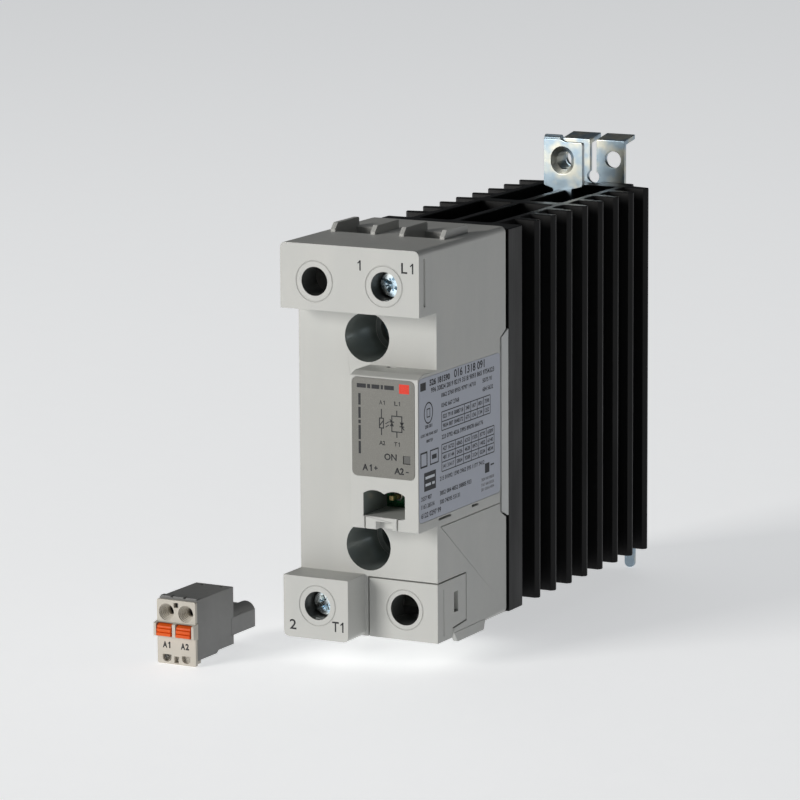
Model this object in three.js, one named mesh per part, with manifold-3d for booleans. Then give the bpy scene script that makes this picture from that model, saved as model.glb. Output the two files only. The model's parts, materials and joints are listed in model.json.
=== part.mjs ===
// Solid state relay for a 35 mm DIN rail, with its plug-in control connector.
// Millimetres, +Z up, +Y from the front face to the rail. The origin is the middle of the rail seat.
import * as THREE from 'three';
import { mergeVertices } from 'three/addons/utils/BufferGeometryUtils.js';
import Module from 'manifold-3d';

const wasm = await Module();
wasm.setup();

// ---------------------------------------------------------------- driving dimensions
// Gaps between separate pieces.
const SEAM = 0.3;              // between pieces that meet
const SLIDE_GAP = 0.3;         // beside a piece that slides or turns
const FILM = 0.05;             // glue film behind a label

// Housing.
const MODULE = 17.5;           // width of one module, and terminal pitch
const WIDTH = 2 * MODULE;
const HEIGHT = 90;
const DEPTH = 42.3;            // front of the terminal blocks to the shell's open back
const WALL = 1.8;
const SIDE_CUT_DEEP = 2.9;
const SIDE_CUT_FLARE = 2.2;    // each end's rise towards the rear
const SIDE_CUT_HALF = 20.2;    // half height of the cut-outs in the sides' rear edges
const CORNER = 1.3;            // radius of the outer corners in the front view
const RECESS = 8.2;            // depth of the face between the terminal blocks
const TOP_BLOCK = 14.9;        // height of the upper terminal block
const LOW_BLOCK = 14.25;       // height of the lower terminal block
const LOW_BLOCK_RIGHT = -0.9;

// Middle block with the label and the control socket.
const MID_BLOCK_LEFT = 0.55;
const MID_BLOCK_HEIGHT = 35.4;
const MID_BLOCK_PROUD = 0.8;   // stands in front of the terminal blocks
const LABEL_WIDTH = 15.6;
const LABEL_HEIGHT = 22.2;
const LABEL_EDGE = 0.9;        // from the block's right side
const LABEL_TOP = 1.2;         // from the block's top
const LABEL_SKIN = 0.2;
const SIDE_LABEL_BACK = 2.9;   // from the label's rear edge to the shell's back
const SIDE_LABEL_HEIGHT = 32.4;
const LED_WINDOW = 1.85;
const LED_FROM_WALL = 1.1;     // window centre from the side wall's inner face
const LED_RISE = 16.4;         // window centre above the block's foot

// Control socket: two contact barrels side by side.
const POLE_PITCH = 5.08;
const KEY_DEEP = 2.2;          // the window under the socket's sill
const SOCKET_X = 8.85;
const SOCKET_PLAY = 0.25;      // beside the plug's tail
const SOCKET_RISE = 3.0;       // sill above the block's foot
const SOCKET_HEIGHT = 5.95;
const BARREL_ARCH = 4.7;       // radius of the arch over each barrel
const PIN = 1.0;

// Terminals.
const TERMINAL_DROP = 8.4;     // upper screw axis below the top
const LOW_TERMINAL_RISE = 7.8; // lower screw axis above the foot
const ACCESS_R = 3.25;         // screwdriver hole
const ACCESS_WALL = 1.5;
const ACCESS_PAST_HEAD = 0.5;  // the bore runs on behind the screw head
const RING_R = 4.6;            // engraved ring round each screwdriver hole
const RING_WIDTH = 0.2;
const RING_DEEP = 0.14;
const HEAD_DEEP = 3.6;         // screw face behind the front
const HEAD_TALL = 2.6;
const SHANK_R = 2.0;
const CAGE_WALL = 1.1;
const CAGE_TALL = 9.0;
const CAGE_FRONT = 2.6;        // threaded wall of the cage
const CAGE_REAR = 1.8;
const CAGE_TRAVEL = 6.0;
const CAGE_STOP = 0.7;         // left in front of the closed cage
const BUSBAR_WIDTH = 5.4;
const BUSBAR_THICK = 1.5;
const WIRE_ROOM = 7.5;         // open gap between the busbar and the cage's rear wall
const ENTRY_WIDTH = 9.0;       // wire entry in the top and bottom
const ENTRY_FRONT = 19.0;
const ENTRY_DEEP = 9.0;
const RIB_THICK = 1.2;
const RIB_TALL = 2.0;
const RIB_LONG = 11.5;
const FOOT_RIB_TALL = 1.5;
const FOOT_RIB_FRONT = 16.1;
const FOOT_RIB_LONG = 15.5;

// Lower right terminal cover.
const COVER_LEFT = 0.1;
const COVER_TALL = 13.55;
const COVER_BACK = 22.0;
const COVER_STEP = 15.5;       // the cover reaches the very foot only in front of this
const COVER_FOOT = 2.9;        // its foot behind the step
const COVER_FOOT_DROP = 0.6;   // from there down to the step
const COVER_WALL = 1.6;
const COVER_HOLE_X = 9.15;
const COVER_HOLE_RISE = 7.0;
const COVER_HOLE_R = 3.55;

// Wells of the two screws that hold the relay to the heat sink.
const FIXING_PITCH = 47.6;
const WELL_R = 5.6;
const WELL_DEEP = 22.7;
const WELL_WALL = 1.2;
const SEAT_R = 4.3;
const SEAT_DEEP = 27.4;
const COLUMN_WALL = 1.2;
const FIXING_R = 2.0;
const WASHER_MARGIN = 0.2;     // washer's edge past the screw head
const FIXING_HEAD_TALL = 2.8;
const WASHER_THICK = 0.8;
const FIXING_END = 50.2;

// Power stack on the heat sink.
const FRAME_THICK = 2.0;
const LUG_THICK = 0.5;         // of the lugs that lap the heat sink's rebated edges
const LUG_FLARE = 1.6;
const MODULE_HALF_WIDTH = 12.0;
const MODULE_HALF_HEIGHT = 17.0;
const PAD_THICK = 0.3;
const BASE_THICK = 2.5;
const SUBSTRATE_THICK = 1.0;
const DIE_THICK = 0.4;
const DIE = 7.5;
const DIE_RISE = 9.0;          // die centres above and below the middle

// Heat sink.
const SINK_SHORTER = 0.8;      // than the housing
const SINK_NARROWER = 0.3;     // than the housing
const SINK_PLATE = 8.5;
const CORE_HALF = 11.4;
const CORE_WALL = 1.9;
const FIN_PITCH = 8.46;
const FIN_COUNT = 8;
const FIN_START = 16.4;        // first fin behind the plate's front
const FIN_ROOT = 2.0;
const FIN_TIP = 0.7;
const REBATE_DEEP = 1.45;      // of the front plate's edges, for the frame's lugs
const FIN_NOSE = 0.8;
const CROSS_WEB_START = 41.0;  // behind the plate's front
const CROSS_WEB = 3.6;
const SINK_DEPTH = 81.8;
const BACK_WALL = 6.4;
const GROOVE_HALF = 2.6;       // spring groove in the back
const GROOVE_DEEP = 2.3;

// Rail clip.
const RAIL = 35.0;
const RAIL_LIP = 1.0;
const RAIL_OVERLAP = 1.6;
const LATCH_TRAVEL = 5.0;
const SHEET = 1.2;
const LATCH_GAP = 0.4;
const BRACKET_THICK = 1.5;
const BRACKET_HALF = 8.0;
const HOOK_PLAY = 0.3;
const SEAT_RELIEF = 0.3;       // depth of the relief by the hook and round the screw heads
const RELIEF_PAST = 0.2;       // past what it clears
const LIP_THICK = 1.2;
const EAR_OUTER = 8.35;
const EAR_RISE = 10.2;         // the ears' bend above the heat sink's top
const EAR_SLOT = 1.6;
const EAR_SLOT_RISE = 1.1;     // the slot's round end above the heat sink's top
const EAR_SLOT_END_R = 1.55;
const EAR_HOLE_R = 2.05;
const EAR_HOLE_X = 5.3;
const EAR_HOLE_DROP = 4.7;     // below the bend
const EAR_FLANGE = 5.0;
const EAR_FLANGE_RISE = 1.0;   // of its free edge above the bend
const LEG_X = 10.0;
const LEG_HALF = 1.3;
const LEG_END = -6.4;
const LEG_ROOT = 12.0;
const LEG_JOINT_RISE = 3.9;    // the legs' outer edges begin above the rail's top
const RAIL_SCREW_PITCH = 14.0;
const RAIL_SCREW_R = 1.5;
const RAIL_SCREW_HEAD_R = 2.7;
const RAIL_SCREW_HEAD = 1.3;
const SPRING_R = 1.85;         // to the wire's centre
const SPRING_WIRE = 0.25;      // wire radius
const SPRING_CLEAR = 0.8;      // to the bottom of the groove
const SPRING_TURNS = 7;
const SPRING_RISE = 6.5;       // the spring's foot above the rail's top
const SPRING_LONG = 11.0;
const STOP_R = 1.8;            // hole of the spring's stop

// Screwdriver rest in front of the ears.
const TAB_AHEAD = 16.9;        // of the heat sink's back
const TAB_WIDTH = 10.4;
const TAB_FOOT_RISE = 1.4;     // above the heat sink's top
const TAB_TALL = 10.8;
const TAB_NECK = 5.0;
const TAB_NECK_DEEP = 9.6;
const TAB_HOLE_DROP = 5.1;     // below the tab's top
const TAB_CURL_R = 1.0;
const TAB_SHOULDER = 0.9;      // where its sides narrow, above the heat sink's top
const TAB_HOLE_R = 1.9;
const TAB_HOLE_STRETCH = 0.35;  // the hole is this much taller up and down
const TAB_DIMPLE = 1.1;        // wider at the front than the hole
const TAB_COLLAR = 4.8;        // the drawn collar behind the sheet
const TAB_COLLAR_WALL = 0.6;

// Control connector, in its own frame: x across, y from its front plate back, z from its foot.
const PLUG_TALL = 14.9;
const PLUG_PLATE = 0.9;
const PLUG_DEPTH = 17.0;
const PLUG_SIDE = 0.15;        // the front plate stands out past the body
const PLUG_TOP = 15.2;
const PLUG_FOOT = 0.9;
const TAIL_END = 26.6;
const TAIL_SIDE = 0.13;        // the tail's side inside the two poles' width
const TAIL_FOOT = 3.9;
const TAIL_TOP = 9.75;
const WIRE_HOLE_R = 1.95;
const WIRE_HOLE_Z = 12.0;
const FUNNEL_WALL = 0.4;
const FUNNEL_LONG = 2.6;       // behind the front plate
const WEB_LONG = 2.6;          // of the web that closes the test holes under the body
const WEB_FOOT = 0.15;
const TEST_HOLE_R = 1.15;
const TEST_HOLE_RISE = 1.65;   // of the round foot's centre
const TEST_HOLE_TOP = 2.2;
const PUSHER_WIDTH = 3.9;
const PUSHER_FOOT = 6.6;
const PUSHER_TALL = 2.9;
const PUSHER_PROUD = 1.2;
const PUSHER_TRAVEL = 1.5;
const PUSHER_LONG = 4.4;
const BOSS_WALL = 0.5;
const CHAMBER_WIDTH = 4.4;
const CHAMBER_END = 15.8;
const CONTACT_WIDTH = 2.4;
const CONTACT_THICK = 0.6;
const CONTACT_Z = 7.85;        // the upper prong, in the tail's socket
const LIP_TALL = 0.35;         // of the three bumps along the body's upper front edge
const PLUG_PLACE = [-38.4, -12.3]; // front plate's middle on the bench
const PLUG_YAW = -0.8;            // degrees

// ---------------------------------------------------------------- places worked out from them
const HALF = WIDTH / 2;
const SINK_HEIGHT = HEIGHT - SINK_SHORTER;
const SINK_WIDTH = WIDTH - SINK_NARROWER;
const SINK_FRONT = DEPTH + SEAM;
const SINK_BACK = SINK_FRONT + SINK_DEPTH;
const MID_Z = SINK_HEIGHT / 2;
const UPPER_X = MODULE / 2;
const UPPER_Z = HEIGHT - TERMINAL_DROP;
const LOWER_X = -MODULE / 2;
const LOWER_Z = LOW_TERMINAL_RISE;
const TOP_BLOCK_FOOT = HEIGHT - TOP_BLOCK;
const BLOCK_FRONT = -MID_BLOCK_PROUD;
const BLOCK_FOOT = MID_Z - MID_BLOCK_HEIGHT / 2;
const BLOCK_TOP = MID_Z + MID_BLOCK_HEIGHT / 2;
const SILL = BLOCK_FOOT + SOCKET_RISE;
const FIXINGS = [MID_Z + FIXING_PITCH / 2, MID_Z - FIXING_PITCH / 2];
const BOARD_FRONT = RECESS + WALL + 0.8;
const BOARD_THICK = 1.6;
const BOARD_BACK = BOARD_FRONT + BOARD_THICK;
const FRAME_FRONT = DEPTH - FRAME_THICK;
const PAD_FRONT = SINK_FRONT - SEAM - PAD_THICK;
const BASE_FRONT = PAD_FRONT - SEAM - BASE_THICK;
const SUBSTRATE_FRONT = BASE_FRONT - SEAM - SUBSTRATE_THICK;
const DIE_FRONT = SUBSTRATE_FRONT - SEAM - DIE_THICK;
const BUSBAR_BACK = DIE_FRONT - SEAM;
const LATCH_FRONT = SINK_BACK + LATCH_GAP;
const LATCH_BACK = LATCH_FRONT + SHEET;
const BRACKET_FRONT = LATCH_BACK + LATCH_GAP;
const SEAT_Y = BRACKET_FRONT + BRACKET_THICK;
const LIP_FRONT = SEAT_Y + RAIL_LIP + HOOK_PLAY;
const LIP_BACK = LIP_FRONT + LIP_THICK;
const EAR_TOP = SINK_HEIGHT + EAR_RISE;
const EAR_SLOT_END = SINK_HEIGHT + EAR_SLOT_RISE;
const EAR_HOLE_Z = EAR_TOP - EAR_HOLE_DROP;
const TAB_Y = SINK_BACK - TAB_AHEAD;
const TAB_FOOT = SINK_HEIGHT + TAB_FOOT_RISE;
const TAB_TOP = TAB_FOOT + TAB_TALL;
const TAB_HOLE_Z = TAB_TOP - TAB_HOLE_DROP;
const RAIL_FOOT = MID_Z - RAIL / 2;
const RAIL_TOP = MID_Z + RAIL / 2;
const SPRING_FOOT = RAIL_TOP + SPRING_RISE;
const SPRING_TOP = SPRING_FOOT + SPRING_LONG + SEAM;
const RAIL_SCREWS = [MID_Z + RAIL_SCREW_PITCH / 2, MID_Z - RAIL_SCREW_PITCH / 2];
const HEAD_R = ACCESS_R - SLIDE_GAP;
const WASHER_R = SEAT_R - SLIDE_GAP;
const FIXING_HEAD_R = WASHER_R - WASHER_MARGIN;
const ACCESS_LONG = HEAD_DEEP + HEAD_TALL + ACCESS_PAST_HEAD;
const BUSBAR_DEPTH = ACCESS_LONG + CAGE_STOP + CAGE_TRAVEL + CAGE_FRONT + SLIDE_GAP;
const PLUG_WIDTH = 2 * POLE_PITCH;
const TAIL_HALF = POLE_PITCH - TAIL_SIDE;
const SOCKET_WIDTH = 2 * (TAIL_HALF + SOCKET_PLAY);
const POLES = [['A1', -POLE_PITCH / 2], ['A2', POLE_PITCH / 2]];
const BEYOND = 1.0;            // a cutting tool runs this far past the wall it cuts
const ROUND = 32;
const SMALL_ROUND = 16;

// ---------------------------------------------------------------- solids
/** A closed geometry as a solid that can be joined and cut. */
function solid(geometry) {
  geometry.deleteAttribute('normal');
  geometry.deleteAttribute('uv');
  const merged = mergeVertices(geometry, 1e-5);
  const index = merged.index.array;
  const triangles = [];
  for (let i = 0; i < index.length; i += 3) {
    const [a, b, c] = [index[i], index[i + 1], index[i + 2]];
    if (a !== b && b !== c && c !== a) triangles.push(a, b, c);
  }
  const mesh = new wasm.Mesh({
    numProp: 3,
    vertProperties: Float32Array.from(merged.attributes.position.array),
    triVerts: Uint32Array.from(triangles),
  });
  return new wasm.Manifold(mesh);
}

/** A block between two values on each axis. */
function block([x0, x1], [y0, y1], [z0, z1]) {
  const geometry = new THREE.BoxGeometry(x1 - x0, y1 - y0, z1 - z0);
  geometry.translate((x0 + x1) / 2, (y0 + y1) / 2, (z0 + z1) / 2);
  return solid(geometry);
}

/** A round rod along Y. */
function rodY(x, z, radius, [y0, y1], sides = ROUND) {
  const geometry = new THREE.CylinderGeometry(radius, radius, y1 - y0, sides);
  geometry.translate(x, (y0 + y1) / 2, z);
  return solid(geometry);
}

/** A round rod along X. */
function rodX(y, z, radius, [x0, x1], sides = ROUND) {
  const geometry = new THREE.CylinderGeometry(radius, radius, x1 - x0, sides);
  geometry.rotateZ(Math.PI / 2);
  geometry.translate((x0 + x1) / 2, y, z);
  return solid(geometry);
}

/** An outline in X and Z, given thickness along Y. */
function slabY(shape, [y0, y1]) {
  const geometry = new THREE.ExtrudeGeometry(shape, { depth: y1 - y0, bevelEnabled: false });
  geometry.rotateX(Math.PI / 2);
  geometry.translate(0, y1, 0);
  return solid(geometry);
}

/** An outline in Y and Z, given thickness along X. */
function slabX(shape, [x0, x1]) {
  const geometry = new THREE.ExtrudeGeometry(shape, { depth: x1 - x0, bevelEnabled: false });
  geometry.applyMatrix4(new THREE.Matrix4().set(0, 0, 1, x0, 1, 0, 0, 0, 0, 1, 0, 0, 0, 0, 0, 1));
  return solid(geometry);
}

/** An outline in X and Y, given thickness along Z. */
function slabZ(shape, [z0, z1]) {
  const geometry = new THREE.ExtrudeGeometry(shape, { depth: z1 - z0, bevelEnabled: false });
  geometry.translate(0, 0, z0);
  return solid(geometry);
}

/** The points of a corner, rounded when it carries a radius. */
function cornerPoints(corner, before, after, radius, steps) {
  if (!radius) return [corner];
  const back = before.clone().sub(corner).normalize();
  const on = after.clone().sub(corner).normalize();
  const half = Math.acos(back.dot(on)) / 2;
  const middle = back.clone().add(on).normalize().multiplyScalar(radius / Math.sin(half)).add(corner);
  const start = back.multiplyScalar(radius / Math.tan(half)).add(corner).sub(middle);
  const end = on.multiplyScalar(radius / Math.tan(half)).add(corner).sub(middle);
  const sweep = Math.atan2(start.cross(end), start.dot(end));
  const turned = (k) => start.clone().rotateAround(new THREE.Vector2(), (sweep * k) / steps).add(middle);
  return Array.from({ length: steps + 1 }, (_, k) => turned(k));
}

/** An outline through corners given as [x, y] or [x, y, radius]. */
function outline(corners, steps = 4) {
  const at = corners.map(([x, y]) => new THREE.Vector2(x, y));
  const count = corners.length;
  const points = corners.flatMap(([, , radius], i) =>
    cornerPoints(at[i], at[(i + count - 1) % count], at[(i + 1) % count], radius, steps));
  return new THREE.Shape(points);
}

/** A rectangle with rounded corners. */
function rounded([x0, x1], [y0, y1], radius = 0) {
  return outline([[x0, y0, radius], [x1, y0, radius], [x1, y1, radius], [x0, y1, radius]]);
}

/** The outline of a strip of even thickness along a bent centre line. */
function ribbon(points, thickness) {
  const line = points.map(([x, y]) => new THREE.Vector2(x, y));
  const side = (from, to) => {
    const along = to.clone().sub(from).normalize();
    return new THREE.Vector2(-along.y, along.x);
  };
  const offset = (i, sign) => {
    const before = i > 0 ? side(line[i - 1], line[i]) : side(line[i], line[i + 1]);
    const after = i < line.length - 1 ? side(line[i], line[i + 1]) : before;
    const mitre = before.clone().add(after).normalize();
    return mitre.multiplyScalar((sign * thickness) / 2 / mitre.dot(before)).add(line[i]);
  };
  const left = line.map((_, i) => offset(i, 1));
  const right = line.map((_, i) => offset(i, -1)).reverse();
  return new THREE.Shape([...left, ...right]);
}

/** Several solids joined. */
const joined = (...solids) => solids.reduce((all, one) => all.add(one));

/** A solid with several others cut away. */
const cut = (from, ...tools) => tools.reduce((left, tool) => left.subtract(tool), from);

/** Plus and minus a half size. */
const across = (half, centre = 0) => [centre - half, centre + half];

// ---------------------------------------------------------------- finishes and pieces
const finishes = {
  lightPlastic: ['#c9c8c4', 0.55, 0],
  framePlastic: ['#d4d4d0', 0.6, 0],
  label: ['#a6a4a0', 0.35, 0.3],
  whiteLabel: ['#e9edf2', 0.5, 0],
  anodised: ['#2a2a2b', 0.45, 0.6],
  zinc: ['#c3cbd2', 0.3, 0.9],
  copper: ['#b87148', 0.35, 0.9],
  ceramic: ['#eeeae0', 0.6, 0],
  silicon: ['#4a4d55', 0.3, 0.3],
  grease: ['#dfe3e4', 0.7, 0],
  tin: ['#b9bcc0', 0.35, 0.9],
  board: ['#1e5a35', 0.5, 0],
  blackPlastic: ['#1c1c1e', 0.5, 0],
  amberLens: ['#d9dad2', 0.25, 0],
  led: ['#e0d060', 0.3, 0],
  varistorBlue: ['#2f5f9c', 0.5, 0],
  resistorBlue: ['#6fa3b8', 0.5, 0],
  springSteel: ['#9aa0a6', 0.3, 0.9],
  plugGrey: ['#6a6a6b', 0.5, 0],
  beige: ['#d2cbc0', 0.5, 0],
  orange: ['#e8541c', 0.45, 0],
};

const relay = new THREE.Group();
relay.position.set(0, -SEAT_Y, -MID_Z);
const plug = new THREE.Group();
plug.position.set(PLUG_PLACE[0], PLUG_PLACE[1], LEG_END);
plug.rotation.z = THREE.MathUtils.degToRad(PLUG_YAW);
relay.add(plug);

/** Adds a solid to a group as a named mesh. */
function piece(name, body, finish, group = relay) {
  const { vertProperties, triVerts } = body.getMesh();
  const geometry = new THREE.BufferGeometry();
  geometry.setAttribute('position', new THREE.BufferAttribute(Float32Array.from(vertProperties), 3));
  geometry.setIndex(new THREE.BufferAttribute(Uint32Array.from(triVerts), 1));
  geometry.computeVertexNormals();
  const [color, roughness, metalness] = finishes[finish];
  const mesh = new THREE.Mesh(geometry, new THREE.MeshStandardMaterial({ color, roughness, metalness }));
  mesh.name = name;
  group.add(mesh);
}

// ---------------------------------------------------------------- housing
/** The engraved ring round a screwdriver hole. */
function ring(x, z, front) {
  const depth = [front - BEYOND, front + RING_DEEP];
  return rodY(x, z, RING_R + RING_WIDTH / 2, depth).subtract(rodY(x, z, RING_R - RING_WIDTH / 2, depth));
}

/** A terminal's screwdriver hole: what is added behind the wall and what is cut. */
function screwdriverHole(x, z, front, radius, length) {
  return {
    boss: rodY(x, z, radius + ACCESS_WALL, [front + WALL / 2, front + length]),
    hole: rodY(x, z, radius, [front - BEYOND, front + length + BEYOND]),
  };
}

/** A fixing screw's well: a wide bore, a seat for the washer and a column down to the frame. */
function well(z) {
  return {
    boss: joined(
      rodY(0, z, WELL_R + WELL_WALL, [RECESS + WALL / 2, WELL_DEEP + WELL_WALL]),
      rodY(0, z, SEAT_R + COLUMN_WALL, [WELL_DEEP, FRAME_FRONT - SEAM]),
    ),
    bores: [
      rodY(0, z, WELL_R, [RECESS - BEYOND, WELL_DEEP]),
      rodY(0, z, SEAT_R, [WELL_DEEP - BEYOND, SEAT_DEEP]),
      rodY(0, z, FIXING_R + SLIDE_GAP, [SEAT_DEEP - BEYOND, FRAME_FRONT + BEYOND], SMALL_ROUND),
    ],
  };
}

/** The outside of the shell, with its blocks. */
function housingSkin() {
  const body = slabY(outline([
    [-HALF, 0, CORNER], [HALF, 0, CORNER], [HALF, HEIGHT, CORNER], [-HALF, HEIGHT, CORNER],
  ]), [RECESS, DEPTH]);
  const top = slabY(outline([
    [-HALF, TOP_BLOCK_FOOT], [HALF, TOP_BLOCK_FOOT], [HALF, HEIGHT, CORNER], [-HALF, HEIGHT, CORNER],
  ]), [0, RECESS + WALL]);
  const low = slabY(outline([
    [-HALF, 0, CORNER], [LOW_BLOCK_RIGHT, 0, CORNER], [LOW_BLOCK_RIGHT, LOW_BLOCK], [-HALF, LOW_BLOCK],
  ]), [0, RECESS + WALL]);
  const middle = slabX(outline([
    [BLOCK_FRONT, BLOCK_FOOT, 0.5], [RECESS + WALL, BLOCK_FOOT], [RECESS + WALL, BLOCK_TOP],
    [BLOCK_FRONT + 2.2, BLOCK_TOP, 1.5], [BLOCK_FRONT, BLOCK_TOP - 0.8, 0.5],
  ]), [MID_BLOCK_LEFT, HALF]);
  return joined(body, top, low, middle);
}

/** The hollows inside the shell. */
function housingHollows() {
  const inner = HALF - WALL;
  return [
    block(across(inner), [RECESS + WALL, DEPTH + BEYOND], [WALL, HEIGHT - WALL]),
    block(across(inner), [WALL, RECESS + WALL + BEYOND], [TOP_BLOCK_FOOT + WALL, HEIGHT - WALL]),
    block([-inner, LOW_BLOCK_RIGHT - WALL], [WALL, RECESS + WALL + BEYOND], [WALL, LOW_BLOCK - WALL]),
    block([MID_BLOCK_LEFT + WALL, inner], [BLOCK_FRONT + WALL, RECESS + WALL + BEYOND],
      [BLOCK_FOOT + WALL, BLOCK_TOP - WALL]),
  ];
}

/** The socket's cross-section: a flat sill under two arches. */
function socketOutline() {
  const centre = SILL + SOCKET_HEIGHT - BARREL_ARCH;
  const arch = (x, from, to) => Array.from({ length: 7 }, (_, k) => {
    const at = from + ((to - from) * k) / 6;
    return new THREE.Vector2(at, centre + Math.sqrt(BARREL_ARCH ** 2 - (at - x) ** 2));
  });
  const [left, right] = across(SOCKET_WIDTH / 2, SOCKET_X);
  return new THREE.Shape([
    new THREE.Vector2(left, SILL), new THREE.Vector2(right, SILL),
    ...arch(SOCKET_X + POLE_PITCH / 2, right, SOCKET_X),
    ...arch(SOCKET_X - POLE_PITCH / 2, SOCKET_X, left).slice(1),
  ]);
}

/** The walls round the socket, back to the control board. */
function socketThroat() {
  return block(across(SOCKET_WIDTH / 2 + 1, SOCKET_X), [BLOCK_FRONT + WALL / 2, BOARD_FRONT - SEAM],
    [BLOCK_FOOT + WALL / 2, SILL + SOCKET_HEIGHT + 1]);
}

/** The key tongue under the socket: two thin slots and a small window. */
function socketKey() {
  const depth = [BLOCK_FRONT - BEYOND, BLOCK_FRONT + WALL / 2];
  const slots = [SOCKET_X - 4.85, SOCKET_X + 3.3].map((x) =>
    block(across(0.18, x), depth, [BLOCK_FOOT - BEYOND, SILL - 0.15]));
  const window = block([SOCKET_X - 2.1, SOCKET_X + 1.95], [BLOCK_FRONT - BEYOND, BLOCK_FRONT + KEY_DEEP],
    [BLOCK_FOOT - BEYOND, SILL - 1.1]);
  return joined(...slots, window);
}

/** Ribs beside each wire entry on the top, and the foot ribs. */
function guideRibs() {
  const end = ENTRY_FRONT - BEYOND + RIB_LONG;
  const upper = outline([
    [ENTRY_FRONT - BEYOND, HEIGHT - WALL / 2], [end, HEIGHT - WALL / 2], [end, HEIGHT + RIB_TALL, 0.5],
    [ENTRY_FRONT + 0.3, HEIGHT + RIB_TALL, 0.4], [ENTRY_FRONT - BEYOND, HEIGHT + 0.6],
  ]);
  const back = FOOT_RIB_FRONT + FOOT_RIB_LONG;
  const lower = outline([
    [FOOT_RIB_FRONT, WALL / 2], [FOOT_RIB_FRONT + 1.8, -FOOT_RIB_TALL, 0.6],
    [back - 0.6, -FOOT_RIB_TALL, 0.7], [back, WALL / 2],
  ]);
  const spread = ENTRY_WIDTH / 2 + RIB_THICK / 2;
  const uppers = [-UPPER_X - spread, -UPPER_X + spread, UPPER_X - spread, UPPER_X + spread]
    .map((x) => slabX(upper, across(RIB_THICK / 2, x)));
  const outer = HALF - RIB_THICK / 2;
  const lowers = [-outer, 0, outer].map((x) => slabX(lower, across(RIB_THICK / 2, x)));
  return joined(...uppers, ...lowers);
}

/** The outline of the terminal cover's side, grown by a margin where it meets the shell. */
function coverOutline(margin, past) {
  const step = COVER_STEP + margin;
  return outline([
    [RECESS - past, -past], [step, -past], [step, COVER_FOOT - COVER_FOOT_DROP - margin],
    [COVER_BACK + margin, COVER_FOOT - margin], [COVER_BACK + margin, COVER_TALL + margin],
    [RECESS - past, COVER_TALL + margin],
  ]);
}

/** Grooves, slits and the cut-outs of the shell's sides. */
function sideCuts() {
  const skin = [HALF - 0.3, HALF + BEYOND];
  const wall = [HALF - WALL - BEYOND, HALF + BEYOND];
  const slit = [BLOCK_FOOT + 1.25, BLOCK_FOOT + 1.75];
  const [foot, top] = across(SIDE_CUT_HALF, MID_Z);
  const back = outline([
    [DEPTH - SIDE_CUT_DEEP, foot], [DEPTH - SIDE_CUT_DEEP, top],
    [DEPTH + BEYOND, top + SIDE_CUT_FLARE], [DEPTH + BEYOND, foot - SIDE_CUT_FLARE],
  ]);
  return [
    block([HALF - 0.5, HALF + BEYOND], across(0.4, 2.6), [TOP_BLOCK_FOOT + 2.2, HEIGHT - 1.9]),
    block(skin, [RECESS + WALL, DEPTH - 3.1], across(0.12, BLOCK_FOOT - 0.35)),
    block(wall, [RECESS + 0.7, RECESS + 6.8], slit),
    block(wall, [RECESS + 16.9, RECESS + 20.2], slit),
    slabX(back, wall),
    slabX(back, [-HALF - BEYOND, -HALF + WALL + BEYOND]),
  ];
}

/** Wire entries through the top and the bottom. */
function wireEntries() {
  const depth = [ENTRY_FRONT, ENTRY_FRONT + ENTRY_DEEP];
  const above = [HEIGHT - WALL - BEYOND, HEIGHT + RIB_TALL + BEYOND];
  return [
    block(across(ENTRY_WIDTH / 2, -UPPER_X), depth, above),
    block(across(ENTRY_WIDTH / 2, UPPER_X), depth, above),
    block(across(ENTRY_WIDTH / 2, LOWER_X), depth, [-FOOT_RIB_TALL - BEYOND, WALL + BEYOND]),
  ];
}

const labelX = [HALF - LABEL_EDGE - LABEL_WIDTH, HALF - LABEL_EDGE];
const labelZ = [BLOCK_TOP - LABEL_TOP - LABEL_HEIGHT, BLOCK_TOP - LABEL_TOP];
const sideLabelZ = [BLOCK_TOP - 0.8 - SIDE_LABEL_HEIGHT, BLOCK_TOP - 0.8];
const sideLabelY = [BLOCK_FRONT + 0.4, DEPTH - SIDE_LABEL_BACK];
const ledX = HALF - WALL - LED_FROM_WALL;
const ledZ = BLOCK_FOOT + LED_RISE;

/** A label's outline, and the pocket that it lies in. */
function labelShape(grow) {
  return rounded([labelX[0] - grow, labelX[1] + grow], [labelZ[0] - grow, labelZ[1] + grow], 1.2);
}

function sideLabelShape(grow) {
  const [front, back] = sideLabelY;
  const [foot, top] = sideLabelZ;
  return rounded([front - grow, back + grow], [foot - grow, top + grow], 1.2);
}

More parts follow.
